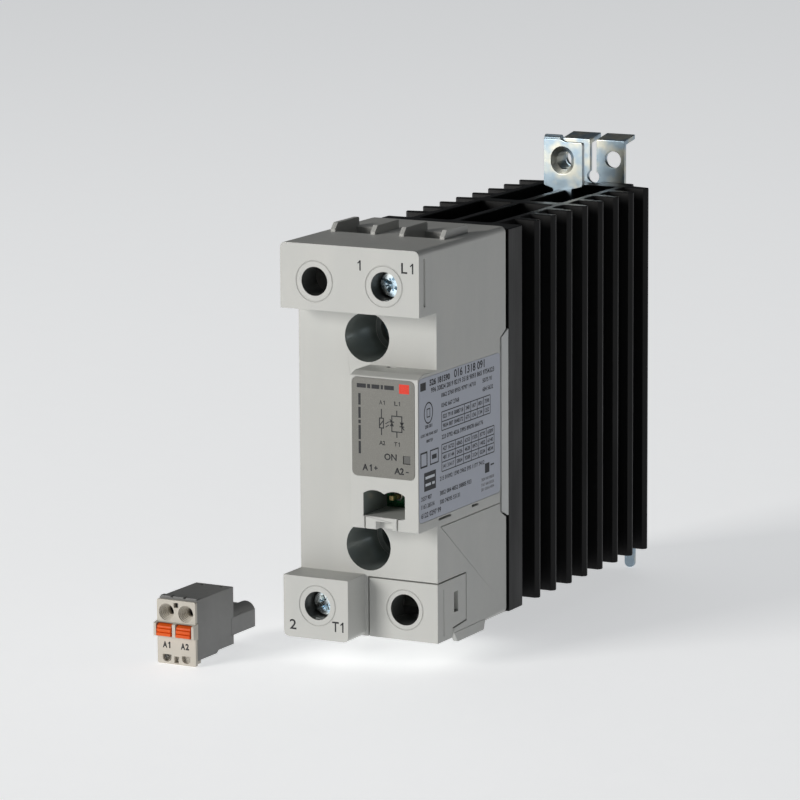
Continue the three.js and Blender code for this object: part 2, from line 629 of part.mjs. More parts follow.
function makeHousing() {
  const holes = [[UPPER_X, UPPER_Z], [-UPPER_X, UPPER_Z], [LOWER_X, LOWER_Z]]
    .map(([x, z]) => screwdriverHole(x, z, 0, ACCESS_R, ACCESS_LONG));
  const wells = FIXINGS.map(well);
  const shell = cut(housingSkin(), ...housingHollows());
  const built = joined(shell, ...holes.map((h) => h.boss), ...wells.map((w) => w.boss), socketThroat(),
    guideRibs());
  return cut(
    built,
    ...holes.map((h) => h.hole),
    ring(UPPER_X, UPPER_Z, 0), ring(-UPPER_X, UPPER_Z, 0), ring(LOWER_X, LOWER_Z, 0),
    ...wells.flatMap((w) => w.bores),
    slabY(socketOutline(), [BLOCK_FRONT - BEYOND, BOARD_FRONT]),
    socketKey(),
    slabX(coverOutline(SEAM, BEYOND), [COVER_LEFT - SEAM, HALF + BEYOND]),
    slabY(labelShape(FILM), [BLOCK_FRONT - BEYOND, BLOCK_FRONT + LABEL_SKIN]),
    slabX(sideLabelShape(FILM), [HALF - LABEL_SKIN, HALF + BEYOND]),
    block(across(LED_WINDOW / 2 + 0.15, ledX), [BLOCK_FRONT - BEYOND, WALL + BEYOND],
      across(LED_WINDOW / 2 + 0.15, ledZ)),
    block([5.6, 7.4], [RECESS - 1.7, RECESS], [BLOCK_TOP - 1.2, BLOCK_TOP + BEYOND]),
    ...wireEntries(),
    ...sideCuts(),
  );
}

function makeCover() {
  const side = [COVER_LEFT, HALF];
  const hollow = block([COVER_LEFT + COVER_WALL, HALF - COVER_WALL],
    [RECESS + COVER_WALL, COVER_BACK + BEYOND], [COVER_FOOT + COVER_WALL, COVER_TALL - COVER_WALL]);
  const bore = screwdriverHole(COVER_HOLE_X, COVER_HOLE_RISE, RECESS, COVER_HOLE_R, 6);
  const shell = slabX(coverOutline(0, 0), side).subtract(hollow);
  return cut(
    shell.add(bore.boss.intersect(slabX(coverOutline(0, 0), side))),
    bore.hole,
    ring(COVER_HOLE_X, COVER_HOLE_RISE, RECESS),
    block([HALF - 0.3, HALF + BEYOND], across(0.15, 11.2), [1.1, 12.0]),
    block([HALF - COVER_WALL - BEYOND, HALF + BEYOND], [16.2, 18.2], [5.7, 10.35]),
  );
}

function makeFrame() {
  const inner = HALF - WALL - SEAM;
  const plate = block(across(inner), [FRAME_FRONT, DEPTH], [WALL + SEAM, HEIGHT - WALL - SEAM]);
  const half = HALF - 0.05;
  const lugEnd = SINK_FRONT + REBATE_DEEP - SEAM;
  const lugShape = (from, to) => slabX(outline([
    [FRAME_FRONT, MID_Z - SIDE_CUT_HALF], [FRAME_FRONT, MID_Z + SIDE_CUT_HALF],
    [lugEnd, MID_Z + SIDE_CUT_HALF + LUG_FLARE], [lugEnd, MID_Z - SIDE_CUT_HALF - LUG_FLARE],
  ]), [from, to]);
  const lugs = joined(
    block(across(HALF - WALL), [FRAME_FRONT, DEPTH], across(SIDE_CUT_HALF, MID_Z)),
    lugShape(half - LUG_THICK, half), lugShape(-half, LUG_THICK - half),
    lugShape(inner - BEYOND, half).intersect(block([0, HALF], [0, DEPTH], [0, HEIGHT])),
    lugShape(-half, BEYOND - inner).intersect(block([-HALF, 0], [0, DEPTH], [0, HEIGHT])),
  );
  const window = block(across(MODULE_HALF_WIDTH + SEAM), [0, DEPTH + BEYOND],
    [MID_Z - MODULE_HALF_HEIGHT - SEAM, MID_Z + MODULE_HALF_HEIGHT + SEAM]);
  const holes = FIXINGS.map((z) =>
    rodY(0, z, FIXING_R + SLIDE_GAP, [0, DEPTH + BEYOND], SMALL_ROUND));
  return cut(plate.add(lugs), window, ...holes);
}

piece('housing', makeHousing(), 'lightPlastic');
piece('terminal_cover', makeCover(), 'lightPlastic');
piece('base_frame', makeFrame(), 'framePlastic');

const ledHole = block(across(LED_WINDOW / 2, ledX), [BLOCK_FRONT - BEYOND, BEYOND],
  across(LED_WINDOW / 2, ledZ));
piece('front_label',
  slabY(labelShape(0), [BLOCK_FRONT, BLOCK_FRONT + LABEL_SKIN - FILM]).subtract(ledHole), 'label');
piece('side_label', slabX(sideLabelShape(0), [HALF - LABEL_SKIN + FILM, HALF]), 'whiteLabel');

// ---------------------------------------------------------------- heat sink
/** The extrusion's outline, from the front plate's middle round one side; x is mirrored for the other. */
function sinkHalf() {
  const plateBack = SINK_FRONT + SINK_PLATE;
  const half = SINK_WIDTH / 2;
  const firstFin = SINK_FRONT + FIN_START;
  const fins = Array.from({ length: FIN_COUNT }, (_, i) => firstFin + i * FIN_PITCH).flatMap((y) => [
    [CORE_HALF, y, 0.4], [half - FIN_NOSE, y, 0.3], [half, y + FIN_NOSE, 0.3],
    [half, y + FIN_NOSE + FIN_TIP, 0.3], [CORE_HALF, y + FIN_NOSE + FIN_ROOT, 0.6],
  ]);
  const rebate = HALF - 0.05 - LUG_THICK - SEAM;
  return [[rebate, SINK_FRONT], [rebate, SINK_FRONT + REBATE_DEEP], [half, SINK_FRONT + REBATE_DEEP],
    [half, plateBack, 0.3], [CORE_HALF, plateBack, 0.5], ...fins,
    [CORE_HALF, SINK_BACK, 0.8], [GROOVE_HALF, SINK_BACK], [GROOVE_HALF, SINK_BACK - GROOVE_DEEP]];
}

function makeSink() {
  const right = sinkHalf();
  const left = right.map(([x, y, r]) => [-x, y, r]).reverse();
  const profile = outline([...right, ...left], 2);
  const inner = [CORE_WALL / 2, CORE_HALF - CORE_WALL];
  const crossWeb = SINK_FRONT + CROSS_WEB_START;
  const rows = [
    [SINK_FRONT + SINK_PLATE, crossWeb],
    [crossWeb + CROSS_WEB, SINK_BACK - BACK_WALL],
  ];
  for (const row of rows) {
    profile.holes.push(rounded(inner, row, 1.2), rounded([-inner[1], -inner[0]], row, 1.2));
  }
  const fixings = FIXINGS.map((z) =>
    rodY(0, z, FIXING_R + SLIDE_GAP, [SINK_FRONT - BEYOND, FIXING_END + SEAM], SMALL_ROUND));
  const railScrews = RAIL_SCREWS.map((z) =>
    rodY(0, z, RAIL_SCREW_R + SLIDE_GAP, [SINK_BACK - BACK_WALL + 1, SINK_BACK + BEYOND], SMALL_ROUND));
  const slit = block(across(CORE_WALL), [TAB_Y - SEAM, TAB_Y + SHEET + SEAM],
    [SINK_HEIGHT - TAB_NECK_DEEP - SEAM, SINK_HEIGHT + BEYOND]);
  const stop = rodY(0, SPRING_TOP + STOP_R, STOP_R, [SINK_BACK - 5, SINK_BACK + BEYOND], SMALL_ROUND);
  return cut(slabZ(profile, [0, SINK_HEIGHT]), ...fixings, ...railScrews, slit, stop);
}

// ---------------------------------------------------------------- rail clip
/** The sliding plate with its ears, legs and the catch that holds the rail's upper edge. */
function makeLatchPlate() {
  const [legInner, legOuter] = across(LEG_HALF, LEG_X);
  const legTop = RAIL_TOP + LEG_JOINT_RISE;
  const side = (s) => [
    [s * EAR_OUTER, EAR_TOP - SHEET / 2], [s * EAR_OUTER, legTop + 3],
    [s * legOuter, legTop], [s * legOuter, LEG_END, 1.2],
    [s * legInner, LEG_END, 1.2], [s * legInner, LEG_ROOT, 1.0],
  ];
  const plate = slabY(outline([...side(1), ...side(-1).reverse()]), [LATCH_FRONT, LATCH_BACK]);
  const flangeEnd = LATCH_BACK + EAR_FLANGE;
  const flange = slabX(outline([
    [LATCH_FRONT, EAR_TOP - SHEET], [flangeEnd, EAR_TOP - SHEET + EAR_FLANGE_RISE],
    [flangeEnd, EAR_TOP + EAR_FLANGE_RISE], [LATCH_FRONT, EAR_TOP],
  ]), across(EAR_OUTER));
  const catchFoot = RAIL_TOP + 0.5;
  const arm = block(across(BRACKET_HALF), [LATCH_FRONT, LIP_BACK], [catchFoot, catchFoot + SHEET]);
  const lip = slabX(outline([
    [LIP_FRONT, RAIL_TOP - RAIL_OVERLAP], [LIP_BACK, RAIL_TOP - RAIL_OVERLAP + 0.8],
    [LIP_BACK, catchFoot + SHEET], [LIP_FRONT, catchFoot + SHEET],
  ]), across(BRACKET_HALF));
  const thick = [LATCH_FRONT - BEYOND, LATCH_BACK + BEYOND];
  const through = [LATCH_FRONT - BEYOND, LATCH_BACK + EAR_FLANGE + BEYOND];
  const slotHalf = RAIL_SCREW_R + SLIDE_GAP;
  const screwSlots = RAIL_SCREWS.map((z) =>
    slabY(rounded(across(slotHalf), [z - slotHalf - LATCH_TRAVEL, z + slotHalf], RAIL_SCREW_R), thick));
  const springWindow = block(across(SPRING_R + SPRING_WIRE + SLIDE_GAP), thick,
    [SPRING_FOOT - SEAM, SPRING_TOP + 2 * STOP_R + SEAM]);
  return cut(
    joined(plate, flange, arm, lip),
    block(across(EAR_SLOT / 2), through, [EAR_SLOT_END, EAR_TOP + EAR_FLANGE_RISE + BEYOND]),
    rodY(0, EAR_SLOT_END, EAR_SLOT_END_R, thick, 24),
    rodY(-EAR_HOLE_X, EAR_HOLE_Z, EAR_HOLE_R, thick, 24),
    rodY(EAR_HOLE_X, EAR_HOLE_Z, EAR_HOLE_R, thick, 24),
    ...screwSlots,
    springWindow,
  );
}

/** The fixed bracket: the rail's seat, and the hook under the rail's lower edge. */
function makeBracket() {
  const foot = RAIL_FOOT - HOOK_PLAY - SHEET;
  const seatHalf = RAIL / 2 - RAIL_OVERLAP - RELIEF_PAST;
  const plate = block(across(BRACKET_HALF), [BRACKET_FRONT, SEAT_Y], [foot, MID_Z + seatHalf]);
  const arm = block(across(BRACKET_HALF), [BRACKET_FRONT, LIP_BACK], [foot, foot + SHEET]);
  const lip = block(across(BRACKET_HALF), [LIP_FRONT, LIP_BACK], [foot, RAIL_FOOT + RAIL_OVERLAP]);
  const holes = RAIL_SCREWS.map((z) =>
    rodY(0, z, RAIL_SCREW_R + SLIDE_GAP, [BRACKET_FRONT - BEYOND, SEAT_Y + BEYOND], SMALL_ROUND));
  const relief = [SEAT_Y - SEAT_RELIEF, SEAT_Y + BEYOND];
  const spots = RAIL_SCREWS.map((z) => rodY(0, z, RAIL_SCREW_HEAD_R + RELIEF_PAST, relief, 24));
  const bend = block(across(BRACKET_HALF + BEYOND), [relief[0], LIP_FRONT],
    [foot + SHEET, MID_Z - seatHalf]);
  return cut(joined(plate, arm, lip), ...holes, ...spots, bend);
}

function makeRailScrew(z) {
  return joined(
    rodY(0, z, RAIL_SCREW_HEAD_R, [SEAT_Y + SEAM, SEAT_Y + SEAM + RAIL_SCREW_HEAD], 24),
    rodY(0, z, RAIL_SCREW_R, [SINK_BACK - BACK_WALL + 1.5, SEAT_Y + SEAM + 0.5], SMALL_ROUND),
  );
}

/** A helix along Z for a coil spring. */
class Helix extends THREE.Curve {
  constructor(x, y, z, radius, length, turns) {
    super();
    Object.assign(this, { x, y, z, radius, length, turns });
  }

  getPoint(t, target = new THREE.Vector3()) {
    const angle = t * this.turns * 2 * Math.PI;
    return target.set(this.x + this.radius * Math.cos(angle), this.y + this.radius * Math.sin(angle),
      this.z + t * this.length);
  }
}

function makeSpring() {
  const axisY = SINK_BACK - GROOVE_DEEP + SPRING_CLEAR + SPRING_R + SPRING_WIRE;
  const path = new Helix(0, axisY, SPRING_FOOT + SPRING_WIRE, SPRING_R, SPRING_LONG - 2 * SPRING_WIRE,
    SPRING_TURNS);
  const wire = new THREE.Shape(Array.from({ length: 6 }, (_, k) =>
    new THREE.Vector2(SPRING_WIRE, 0).rotateAround(new THREE.Vector2(), (k * Math.PI) / 3)));
  return solid(new THREE.ExtrudeGeometry(wire, { steps: SPRING_TURNS * 12, extrudePath: path }));
}

/** The screwdriver rest: a sheet tab with a rolled edge and a flared hole. */
function makeTab() {
  const [left, right] = across(TAB_WIDTH / 2, 0.2);
  const depth = [TAB_Y, TAB_Y + SHEET];
  const tab = slabY(outline([
    [left, TAB_TOP], [left, SINK_HEIGHT + TAB_SHOULDER, 0.6], [-TAB_NECK / 2, SINK_HEIGHT + 0.2, 0.4],
    [-TAB_NECK / 2, SINK_HEIGHT - TAB_NECK_DEEP], [TAB_NECK / 2, SINK_HEIGHT - TAB_NECK_DEEP],
    [TAB_NECK / 2, SINK_HEIGHT + 0.2, 0.4], [right, SINK_HEIGHT + TAB_SHOULDER, 0.6],
    [right, TAB_TOP - 0.6, 0.6],
    [0.8, TAB_TOP - 0.6], [-0.6, TAB_TOP],
  ]), depth);
  const curl = rodX(TAB_Y + SHEET, TAB_TOP, TAB_CURL_R, [left, -0.6], SMALL_ROUND);
  const collarEnd = TAB_Y + SHEET + TAB_COLLAR;
  const stretched = (radius, y) => [-TAB_HOLE_STRETCH, TAB_HOLE_STRETCH]
    .map((rise) => rodY(0, TAB_HOLE_Z + rise, radius, y, 24));
  const collar = stretched(TAB_HOLE_R + TAB_COLLAR_WALL, [TAB_Y + SHEET / 2, collarEnd]);
  const hole = stretched(TAB_HOLE_R, [TAB_Y - BEYOND, collarEnd + BEYOND]);
  const steps = 4;
  const dimple = Array.from({ length: steps }, (_, k) =>
    stretched(TAB_HOLE_R + (TAB_DIMPLE * (steps - k)) / steps,
      [TAB_Y - BEYOND, TAB_Y + (SHEET * (k + 1)) / (steps + 1)])).flat();
  return cut(joined(tab, curl, ...collar), ...hole, ...dimple);
}

piece('heat_sink', makeSink(), 'anodised');
piece('latch_plate', makeLatchPlate(), 'zinc');
piece('rail_bracket', makeBracket(), 'zinc');
piece('bracket_screw_upper', makeRailScrew(RAIL_SCREWS[0]), 'zinc');
piece('bracket_screw_lower', makeRailScrew(RAIL_SCREWS[1]), 'zinc');
piece('latch_spring', makeSpring(), 'springSteel');
piece('spring_stop',
  rodY(0, SPRING_TOP + STOP_R, STOP_R - 0.1, [SINK_BACK - 4.7, LATCH_BACK + 0.2], SMALL_ROUND), 'zinc');
piece('screwdriver_tab', makeTab(), 'zinc');

// ---------------------------------------------------------------- fixing screws and power stack
function makeFixingScrew(z) {
  const headFront = SEAT_DEEP - 2 * SEAM - WASHER_THICK - FIXING_HEAD_TALL;
  return joined(
    rodY(0, z, FIXING_HEAD_R, [headFront, headFront + FIXING_HEAD_TALL], 24),
    rodY(0, z, FIXING_R, [headFront + BEYOND, FIXING_END], SMALL_ROUND),
  );
}

function makeWasher(z) {
  const depth = [SEAT_DEEP - SEAM - WASHER_THICK, SEAT_DEEP - SEAM];
  return rodY(0, z, WASHER_R, depth, 24)
    .subtract(rodY(0, z, FIXING_R + SLIDE_GAP, [depth[0] - BEYOND, depth[1] + BEYOND], SMALL_ROUND));
}

['upper', 'lower'].forEach((end, i) => {
  piece(`fixing_screw_${end}`, makeFixingScrew(FIXINGS[i]), 'zinc');
  piece(`fixing_washer_${end}`, makeWasher(FIXINGS[i]), 'zinc');
});

/** A rectangular layer of the power stack. */
function layer(halfWidth, halfHeight, front, thickness) {
  return block(across(halfWidth), [front, front + thickness], across(halfHeight, MID_Z));
}

piece('thermal_pad',
  layer(MODULE_HALF_WIDTH - 0.5, MODULE_HALF_HEIGHT - 0.5, PAD_FRONT, PAD_THICK), 'grease');
piece('base_plate', layer(MODULE_HALF_WIDTH, MODULE_HALF_HEIGHT, BASE_FRONT, BASE_THICK), 'copper');
piece('power_substrate',
  layer(MODULE_HALF_WIDTH - 0.8, MODULE_HALF_HEIGHT - 1, SUBSTRATE_FRONT, SUBSTRATE_THICK), 'ceramic');

/** One terminal: the screw turns about Y and draws the cage forward onto the wire and the busbar. */
function makeTerminal(label, x, z, inward, dieZ) {
  const cageHalf = BUSBAR_WIDTH / 2 + SLIDE_GAP + CAGE_WALL;
  const boreDepth = [BUSBAR_DEPTH - SLIDE_GAP, BUSBAR_DEPTH + BUSBAR_THICK + WIRE_ROOM];
  const cageDepth = [boreDepth[0] - CAGE_FRONT, boreDepth[1] + CAGE_REAR];
  const cageZ = across(CAGE_TALL / 2, z);
  const cage = cut(
    slabZ(rounded(across(cageHalf, x), cageDepth, 0.8), cageZ),
    block(across(cageHalf - CAGE_WALL, x), boreDepth, across(CAGE_TALL, z)),
    rodY(x, z, SHANK_R + SLIDE_GAP, [cageDepth[0] - BEYOND, boreDepth[0] + BEYOND], SMALL_ROUND),
  );
  const screw = joined(
    rodY(x, z, HEAD_R, [HEAD_DEEP, HEAD_DEEP + HEAD_TALL], 24),
    rodY(x, z, SHANK_R, [HEAD_DEEP + BEYOND, BUSBAR_DEPTH - SLIDE_GAP], SMALL_ROUND),
  );
  const middle = BUSBAR_DEPTH + BUSBAR_THICK / 2;
  const legY = BUSBAR_BACK - BUSBAR_THICK / 2;
  const shelfZ = z + inward * (CAGE_TALL / 2 + SLIDE_GAP + BUSBAR_THICK + 2);
  const busbar = slabX(ribbon([
    [middle, z - inward * (CAGE_TALL / 2 - 0.6)], [middle, shelfZ], [legY, shelfZ],
    [legY, dieZ - inward * 2.5],
  ], BUSBAR_THICK), across(BUSBAR_WIDTH / 2, x));
  piece(`terminal_screw_${label}`, screw, 'zinc');
  piece(`clamp_cage_${label}`, cage, 'zinc');
  piece(`busbar_${label}`, busbar, 'tin');
}

const dieX = MODULE_HALF_WIDTH - 1.2 - DIE / 2;
const dieZs = [MID_Z + DIE_RISE, MID_Z - DIE_RISE];
makeTerminal('L1', UPPER_X, UPPER_Z, -1, dieZs[0]);
makeTerminal('T1', LOWER_X, LOWER_Z, 1, dieZs[1]);
[dieX, -dieX].forEach((x, i) => {
  piece(`thyristor_die_${i + 1}`,
    block(across(DIE / 2, x), [DIE_FRONT, DIE_FRONT + DIE_THICK], across(DIE / 2, dieZs[i])), 'silicon');
});

// ---------------------------------------------------------------- control board
const headerBack = BOARD_BACK + SEAM + 2.5;
const pinZ = SILL + 2.6;
const pinXs = [SOCKET_X - POLE_PITCH / 2, SOCKET_X + POLE_PITCH / 2];
const pinFront = BOARD_FRONT - 3.4;
const boardZ = [FIXINGS[1] + WELL_R + WELL_WALL + 0.6, FIXINGS[0] - WELL_R - WELL_WALL - 0.6];

/** A square passage for a pin. */
const pinHole = (x, y) => block(across(PIN / 2 + SLIDE_GAP, x), y, across(PIN / 2 + SLIDE_GAP, pinZ));

function makeBoard() {
  const inner = HALF - WALL - 0.6;
  const depth = [BOARD_FRONT - BEYOND, BOARD_BACK + BEYOND];
  return cut(
    slabY(rounded(across(inner), boardZ, 1), [BOARD_FRONT, BOARD_BACK]),
    ...pinXs.map((x) => pinHole(x, depth)),
  );
}

piece('control_board', makeBoard(), 'board');
piece('pin_header', cut(
  block(across(SOCKET_WIDTH / 2 - SEAM, SOCKET_X), [BOARD_BACK + SEAM, headerBack], across(2.2, pinZ)),
  ...pinXs.map((x) => pinHole(x, [BOARD_BACK, headerBack + BEYOND])),
), 'blackPlastic');
['A1', 'A2'].forEach((pole, i) => {
  piece(`control_pin_${pole}`,
    block(across(PIN / 2, pinXs[i]), [pinFront, headerBack + 0.7], across(PIN / 2, pinZ)), 'tin');
});

const ledFront = BOARD_FRONT - SEAM - 1.6;
piece('status_led', joined(
  rodY(ledX, ledZ, 0.9, [ledFront, ledFront + 1.2], SMALL_ROUND),
  block(across(0.95, ledX), [ledFront + 0.8, BOARD_FRONT - SEAM], across(1.2, ledZ)),
), 'led');
piece('light_pipe', joined(
  block(across(LED_WINDOW / 2 - 0.1, ledX), [BLOCK_FRONT + LABEL_SKIN, ledFront - SEAM],
    across(LED_WINDOW / 2 - 0.1, ledZ)),
  block(across(1.0, ledX), [BLOCK_FRONT + WALL + 0.4, BLOCK_FRONT + WALL + 1.4], across(1.8, ledZ)),
), 'amberLens');

const partsFront = BOARD_BACK + SEAM;
piece('optocoupler', block([-11.2, -4.7], [partsFront, partsFront + 3.5], across(4.4, MID_Z)),
  'blackPlastic');
piece('surge_varistor', rodY(8.6, boardZ[1] - 6.6, 5.2, [partsFront, partsFront + 4], 24), 'varistorBlue');
piece('snubber_capacitor',
  block([3.6, 13.6], [partsFront, partsFront + 8], [boardZ[0] + 7.0, boardZ[0] + 14.0]), 'varistorBlue');
piece('gate_resistor', rodX(partsFront + 1.3, boardZ[1] - 4.2, 1.25, [-12.4, -4.4], SMALL_ROUND),
  'resistorBlue');
[-3.4, 3.4].forEach((rise, i) => {
  piece(`gate_lead_${i + 1}`,
    rodY(0, MID_Z + rise, 0.45, [partsFront, SUBSTRATE_FRONT - SEAM], 12), 'copper');
});

// ---------------------------------------------------------------- control connector
const plugHalf = PLUG_WIDTH / 2;
const bodyHalf = plugHalf - PLUG_SIDE;
const bodyFront = PLUG_PLATE + 0.1;

/** The tail's cross-section: flat sides and foot under two round barrels. */
function tailOutline() {
  const barrelR = POLE_PITCH / 2;
  const centre = TAIL_TOP - barrelR;
  const reach = TAIL_HALF - barrelR;
  const valley = 0.8;
  const arch = (x, from, to) => Array.from({ length: 9 }, (_, k) => {
    const at = from + ((to - from) * k) / 8;
    return new THREE.Vector2(x + at, centre + Math.sqrt(barrelR ** 2 - at ** 2));
  });
  return new THREE.Shape([
    new THREE.Vector2(-TAIL_HALF, TAIL_FOOT), new THREE.Vector2(TAIL_HALF, TAIL_FOOT),
    ...arch(barrelR, reach, valley - barrelR), ...arch(-barrelR, barrelR - valley, -reach),
  ]);
}

function makePlugBody() {
  const side = outline([
    [bodyFront, PLUG_FOOT + 0.3], [9.4, PLUG_FOOT + 0.3], [10.3, PLUG_FOOT + 0.9],
    [PLUG_DEPTH, PLUG_FOOT + 0.9],
    [PLUG_DEPTH, PLUG_TOP], [bodyFront, PLUG_TOP],
  ]);
  const bumps = [-3.35, 0, 3.35].map((x) => slabX(outline([
    [bodyFront, PLUG_TOP - LIP_TALL], [bodyFront + 2.4, PLUG_TOP - LIP_TALL],
    [bodyFront + 1.5, PLUG_TOP + LIP_TALL, 0.2], [bodyFront, PLUG_TOP + LIP_TALL, 0.1],
  ]), across(1.35, x)));
  const tail = slabY(tailOutline(), [PLUG_DEPTH - 1, TAIL_END]);
  const chambers = POLES.map(([, x]) =>
    block(across(CHAMBER_WIDTH / 2, x), [bodyFront - BEYOND, CHAMBER_END], [3.2, PLUG_TOP - 0.7]));
  const sockets = POLES.map(([, x]) =>
    block(across(1.5, x), [CHAMBER_END - BEYOND, TAIL_END + BEYOND],
      across(1.8, CONTACT_Z - 0.9)));
  const notches = POLES.map(([, x]) => slabZ(outline([
    [x - 0.5, PLUG_DEPTH - 1.9], [x + 0.9, PLUG_DEPTH - 1.5], [x - 0.2, PLUG_DEPTH - 0.6],
  ]), [PLUG_TOP - 0.6, PLUG_TOP + BEYOND]));
  const testHoles = POLES.map(([, x]) =>
    rodY(x, PLUG_FOOT + 1.25, 0.7, [bodyFront - BEYOND, 8], SMALL_ROUND));
  const whole = joined(slabX(side, across(bodyHalf)), tail, ...bumps);
  return cut(whole, ...chambers, ...sockets, ...notches, ...testHoles);
}

/** The front plate: wire funnels, pusher windows in a raised boss, test holes and key holes. */
function makePlugFront() {
  const plate = slabY(rounded(across(plugHalf), [0, PLUG_TALL], 0.4), [0, PLUG_PLATE]);
  const boss = slabX(outline([
    [PLUG_PLATE - 0.1, PUSHER_FOOT - 0.35], [-PUSHER_PROUD, PUSHER_FOOT - 0.05],
    [-PUSHER_PROUD, PUSHER_FOOT + PUSHER_TALL], [PLUG_PLATE - 0.1, PUSHER_FOOT + PUSHER_TALL + 0.5],
  ]), across(plugHalf + BOSS_WALL / 2));
  const through = [-PUSHER_PROUD - BEYOND, PLUG_PLATE + BEYOND];
  const windows = POLES.map(([, x]) => block(across(PUSHER_WIDTH / 2 + 0.15, x), through,
    [PUSHER_FOOT - 0.15, PUSHER_FOOT + PUSHER_TALL + 0.15]));
  const funnelEnd = PLUG_PLATE + FUNNEL_LONG;
  const funnelR = WIRE_HOLE_R - 0.05;
  const funnels = POLES.map(([, x]) => rodY(x, WIRE_HOLE_Z, funnelR, [PLUG_PLATE / 2, funnelEnd], 24));
  const steps = 6;
  const wires = POLES.flatMap(([, x]) => Array.from({ length: steps }, (_, k) =>
    rodY(x, WIRE_HOLE_Z, WIRE_HOLE_R - (FUNNEL_WALL * (1 + k)) / 2.2 + 0.18,
      [through[0], k === steps - 1 ? funnelEnd + BEYOND : ((k + 1) * PLUG_PLATE) / 2], 24)));
  const tests = POLES.flatMap(([, x]) => [
    rodY(x, TEST_HOLE_RISE, TEST_HOLE_R, through, 24)
      .intersect(block(across(TEST_HOLE_R, x), through, [0, TEST_HOLE_TOP])),
    block(across(TEST_HOLE_R, x), through, [TEST_HOLE_RISE, TEST_HOLE_TOP]),
  ]);
  const keys = [block(across(0.6), through, [0.4, 1.9]), block(across(0.6), through, [13.2, 14.3])];
  const web = block(across(POLE_PITCH / 2 + TEST_HOLE_R + 0.6), [PLUG_PLATE / 2, PLUG_PLATE + WEB_LONG],
    [WEB_FOOT, PLUG_FOOT + 0.3 - SEAM]);
  return cut(joined(plate, boss, web, ...funnels), ...windows, ...wires, ...tests, ...keys);
}

function makePusher(x) {
  const top = PUSHER_FOOT + PUSHER_TALL;
  const foot = PUSHER_FOOT + 0.1;
  const front = -PUSHER_PROUD - 0.3;
  const side = outline([
    [front, foot], [PUSHER_LONG, foot], [PUSHER_LONG, top - 0.1], [-0.4, top - 0.1, 0.4],
    [front + 0.4, top - 0.5, 0.3], [front + 0.3, foot + 1.85], [front + 0.55, foot + 1.7],
    [front + 0.1, foot + 1.6], [front + 0.1, foot + 0.95], [front + 0.45, foot + 0.8], [front, foot + 0.7],
  ]);
  return slabX(side, across(PUSHER_WIDTH / 2 - 0.1, x));
}

function makeContact(x) {
  const end = TAIL_END - 0.6;
  const low = CONTACT_Z - 2;
  const bar = ribbon([[4.4, 13.7], [14.6, 13.7], [14.6, CONTACT_Z], [end, CONTACT_Z]], CONTACT_THICK);
  const prong = ribbon([[14.9, CONTACT_Z], [16.9, low], [end, low]], CONTACT_THICK);
  const half = across(CONTACT_WIDTH / 2, x);
  return joined(slabX(bar, half), slabX(prong, half));
}

function makeClampSpring(x) {
  const foot = PUSHER_LONG + PUSHER_TRAVEL + 0.9;
  const line = [[foot, 5.6], [foot, 9.6], [foot + 1.4, 10.4], [foot + 5.4, 10.2], [foot + 1.4, 12.9]];
  return slabX(ribbon(line, 0.4), across(CONTACT_WIDTH / 2 - 0.1, x));
}

piece('plug_body', makePlugBody(), 'plugGrey', plug);
piece('plug_front', makePlugFront(), 'beige', plug);
POLES.forEach(([pole, x]) => {
  piece(`pusher_${pole}`, makePusher(x), 'orange', plug);
  piece(`plug_contact_${pole}`, makeContact(x), 'tin', plug);
  piece(`clamp_spring_${pole}`, makeClampSpring(x), 'springSteel', plug);
});

export default relay;
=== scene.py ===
"""Looks of a solid state relay on its heat sink, with its loose control plug.

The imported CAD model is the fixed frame. Shapes that meet other pieces are copies of its nodes with
their edges rounded; screws, marks and small trim are modelled here. Metres, +Z up, +Y to the rail.
"""

import json
import logging
import math
import random
from dataclasses import dataclass, field
from enum import Enum
from typing import Callable, Iterable, Sequence

import bmesh
import bpy
from mathutils import Euler, Matrix, Vector


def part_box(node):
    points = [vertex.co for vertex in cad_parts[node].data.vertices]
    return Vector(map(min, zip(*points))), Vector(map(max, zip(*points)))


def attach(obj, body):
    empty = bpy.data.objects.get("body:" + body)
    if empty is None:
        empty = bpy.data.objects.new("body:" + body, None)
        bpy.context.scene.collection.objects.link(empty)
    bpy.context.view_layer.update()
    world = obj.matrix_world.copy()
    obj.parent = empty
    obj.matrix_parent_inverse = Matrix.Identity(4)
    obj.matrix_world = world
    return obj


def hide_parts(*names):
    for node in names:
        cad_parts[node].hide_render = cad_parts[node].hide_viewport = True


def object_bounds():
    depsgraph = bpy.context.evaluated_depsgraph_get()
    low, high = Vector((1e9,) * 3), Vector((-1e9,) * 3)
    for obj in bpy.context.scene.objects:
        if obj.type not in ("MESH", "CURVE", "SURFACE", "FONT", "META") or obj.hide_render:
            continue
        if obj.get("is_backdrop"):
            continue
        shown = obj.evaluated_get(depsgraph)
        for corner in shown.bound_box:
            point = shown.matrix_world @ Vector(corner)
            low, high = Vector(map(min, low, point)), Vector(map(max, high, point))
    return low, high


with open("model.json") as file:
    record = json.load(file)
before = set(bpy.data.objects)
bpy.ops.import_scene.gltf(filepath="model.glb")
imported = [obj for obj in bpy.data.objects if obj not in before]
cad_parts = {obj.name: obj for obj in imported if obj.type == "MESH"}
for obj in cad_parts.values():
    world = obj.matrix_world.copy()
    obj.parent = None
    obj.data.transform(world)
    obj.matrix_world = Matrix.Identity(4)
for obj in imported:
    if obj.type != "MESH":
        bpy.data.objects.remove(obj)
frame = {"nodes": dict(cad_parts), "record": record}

log = logging.getLogger("relay")
MM = 0.001
Colour = tuple[float, float, float]


# ---------------------------------------------------------------- modelling
def make_active(piece: bpy.types.Object) -> None:
    """Selects one piece alone and makes it active."""
    bpy.ops.object.select_all(action="DESELECT")
    piece.hide_set(False)
    piece.select_set(True)
    bpy.context.view_layer.objects.active = piece


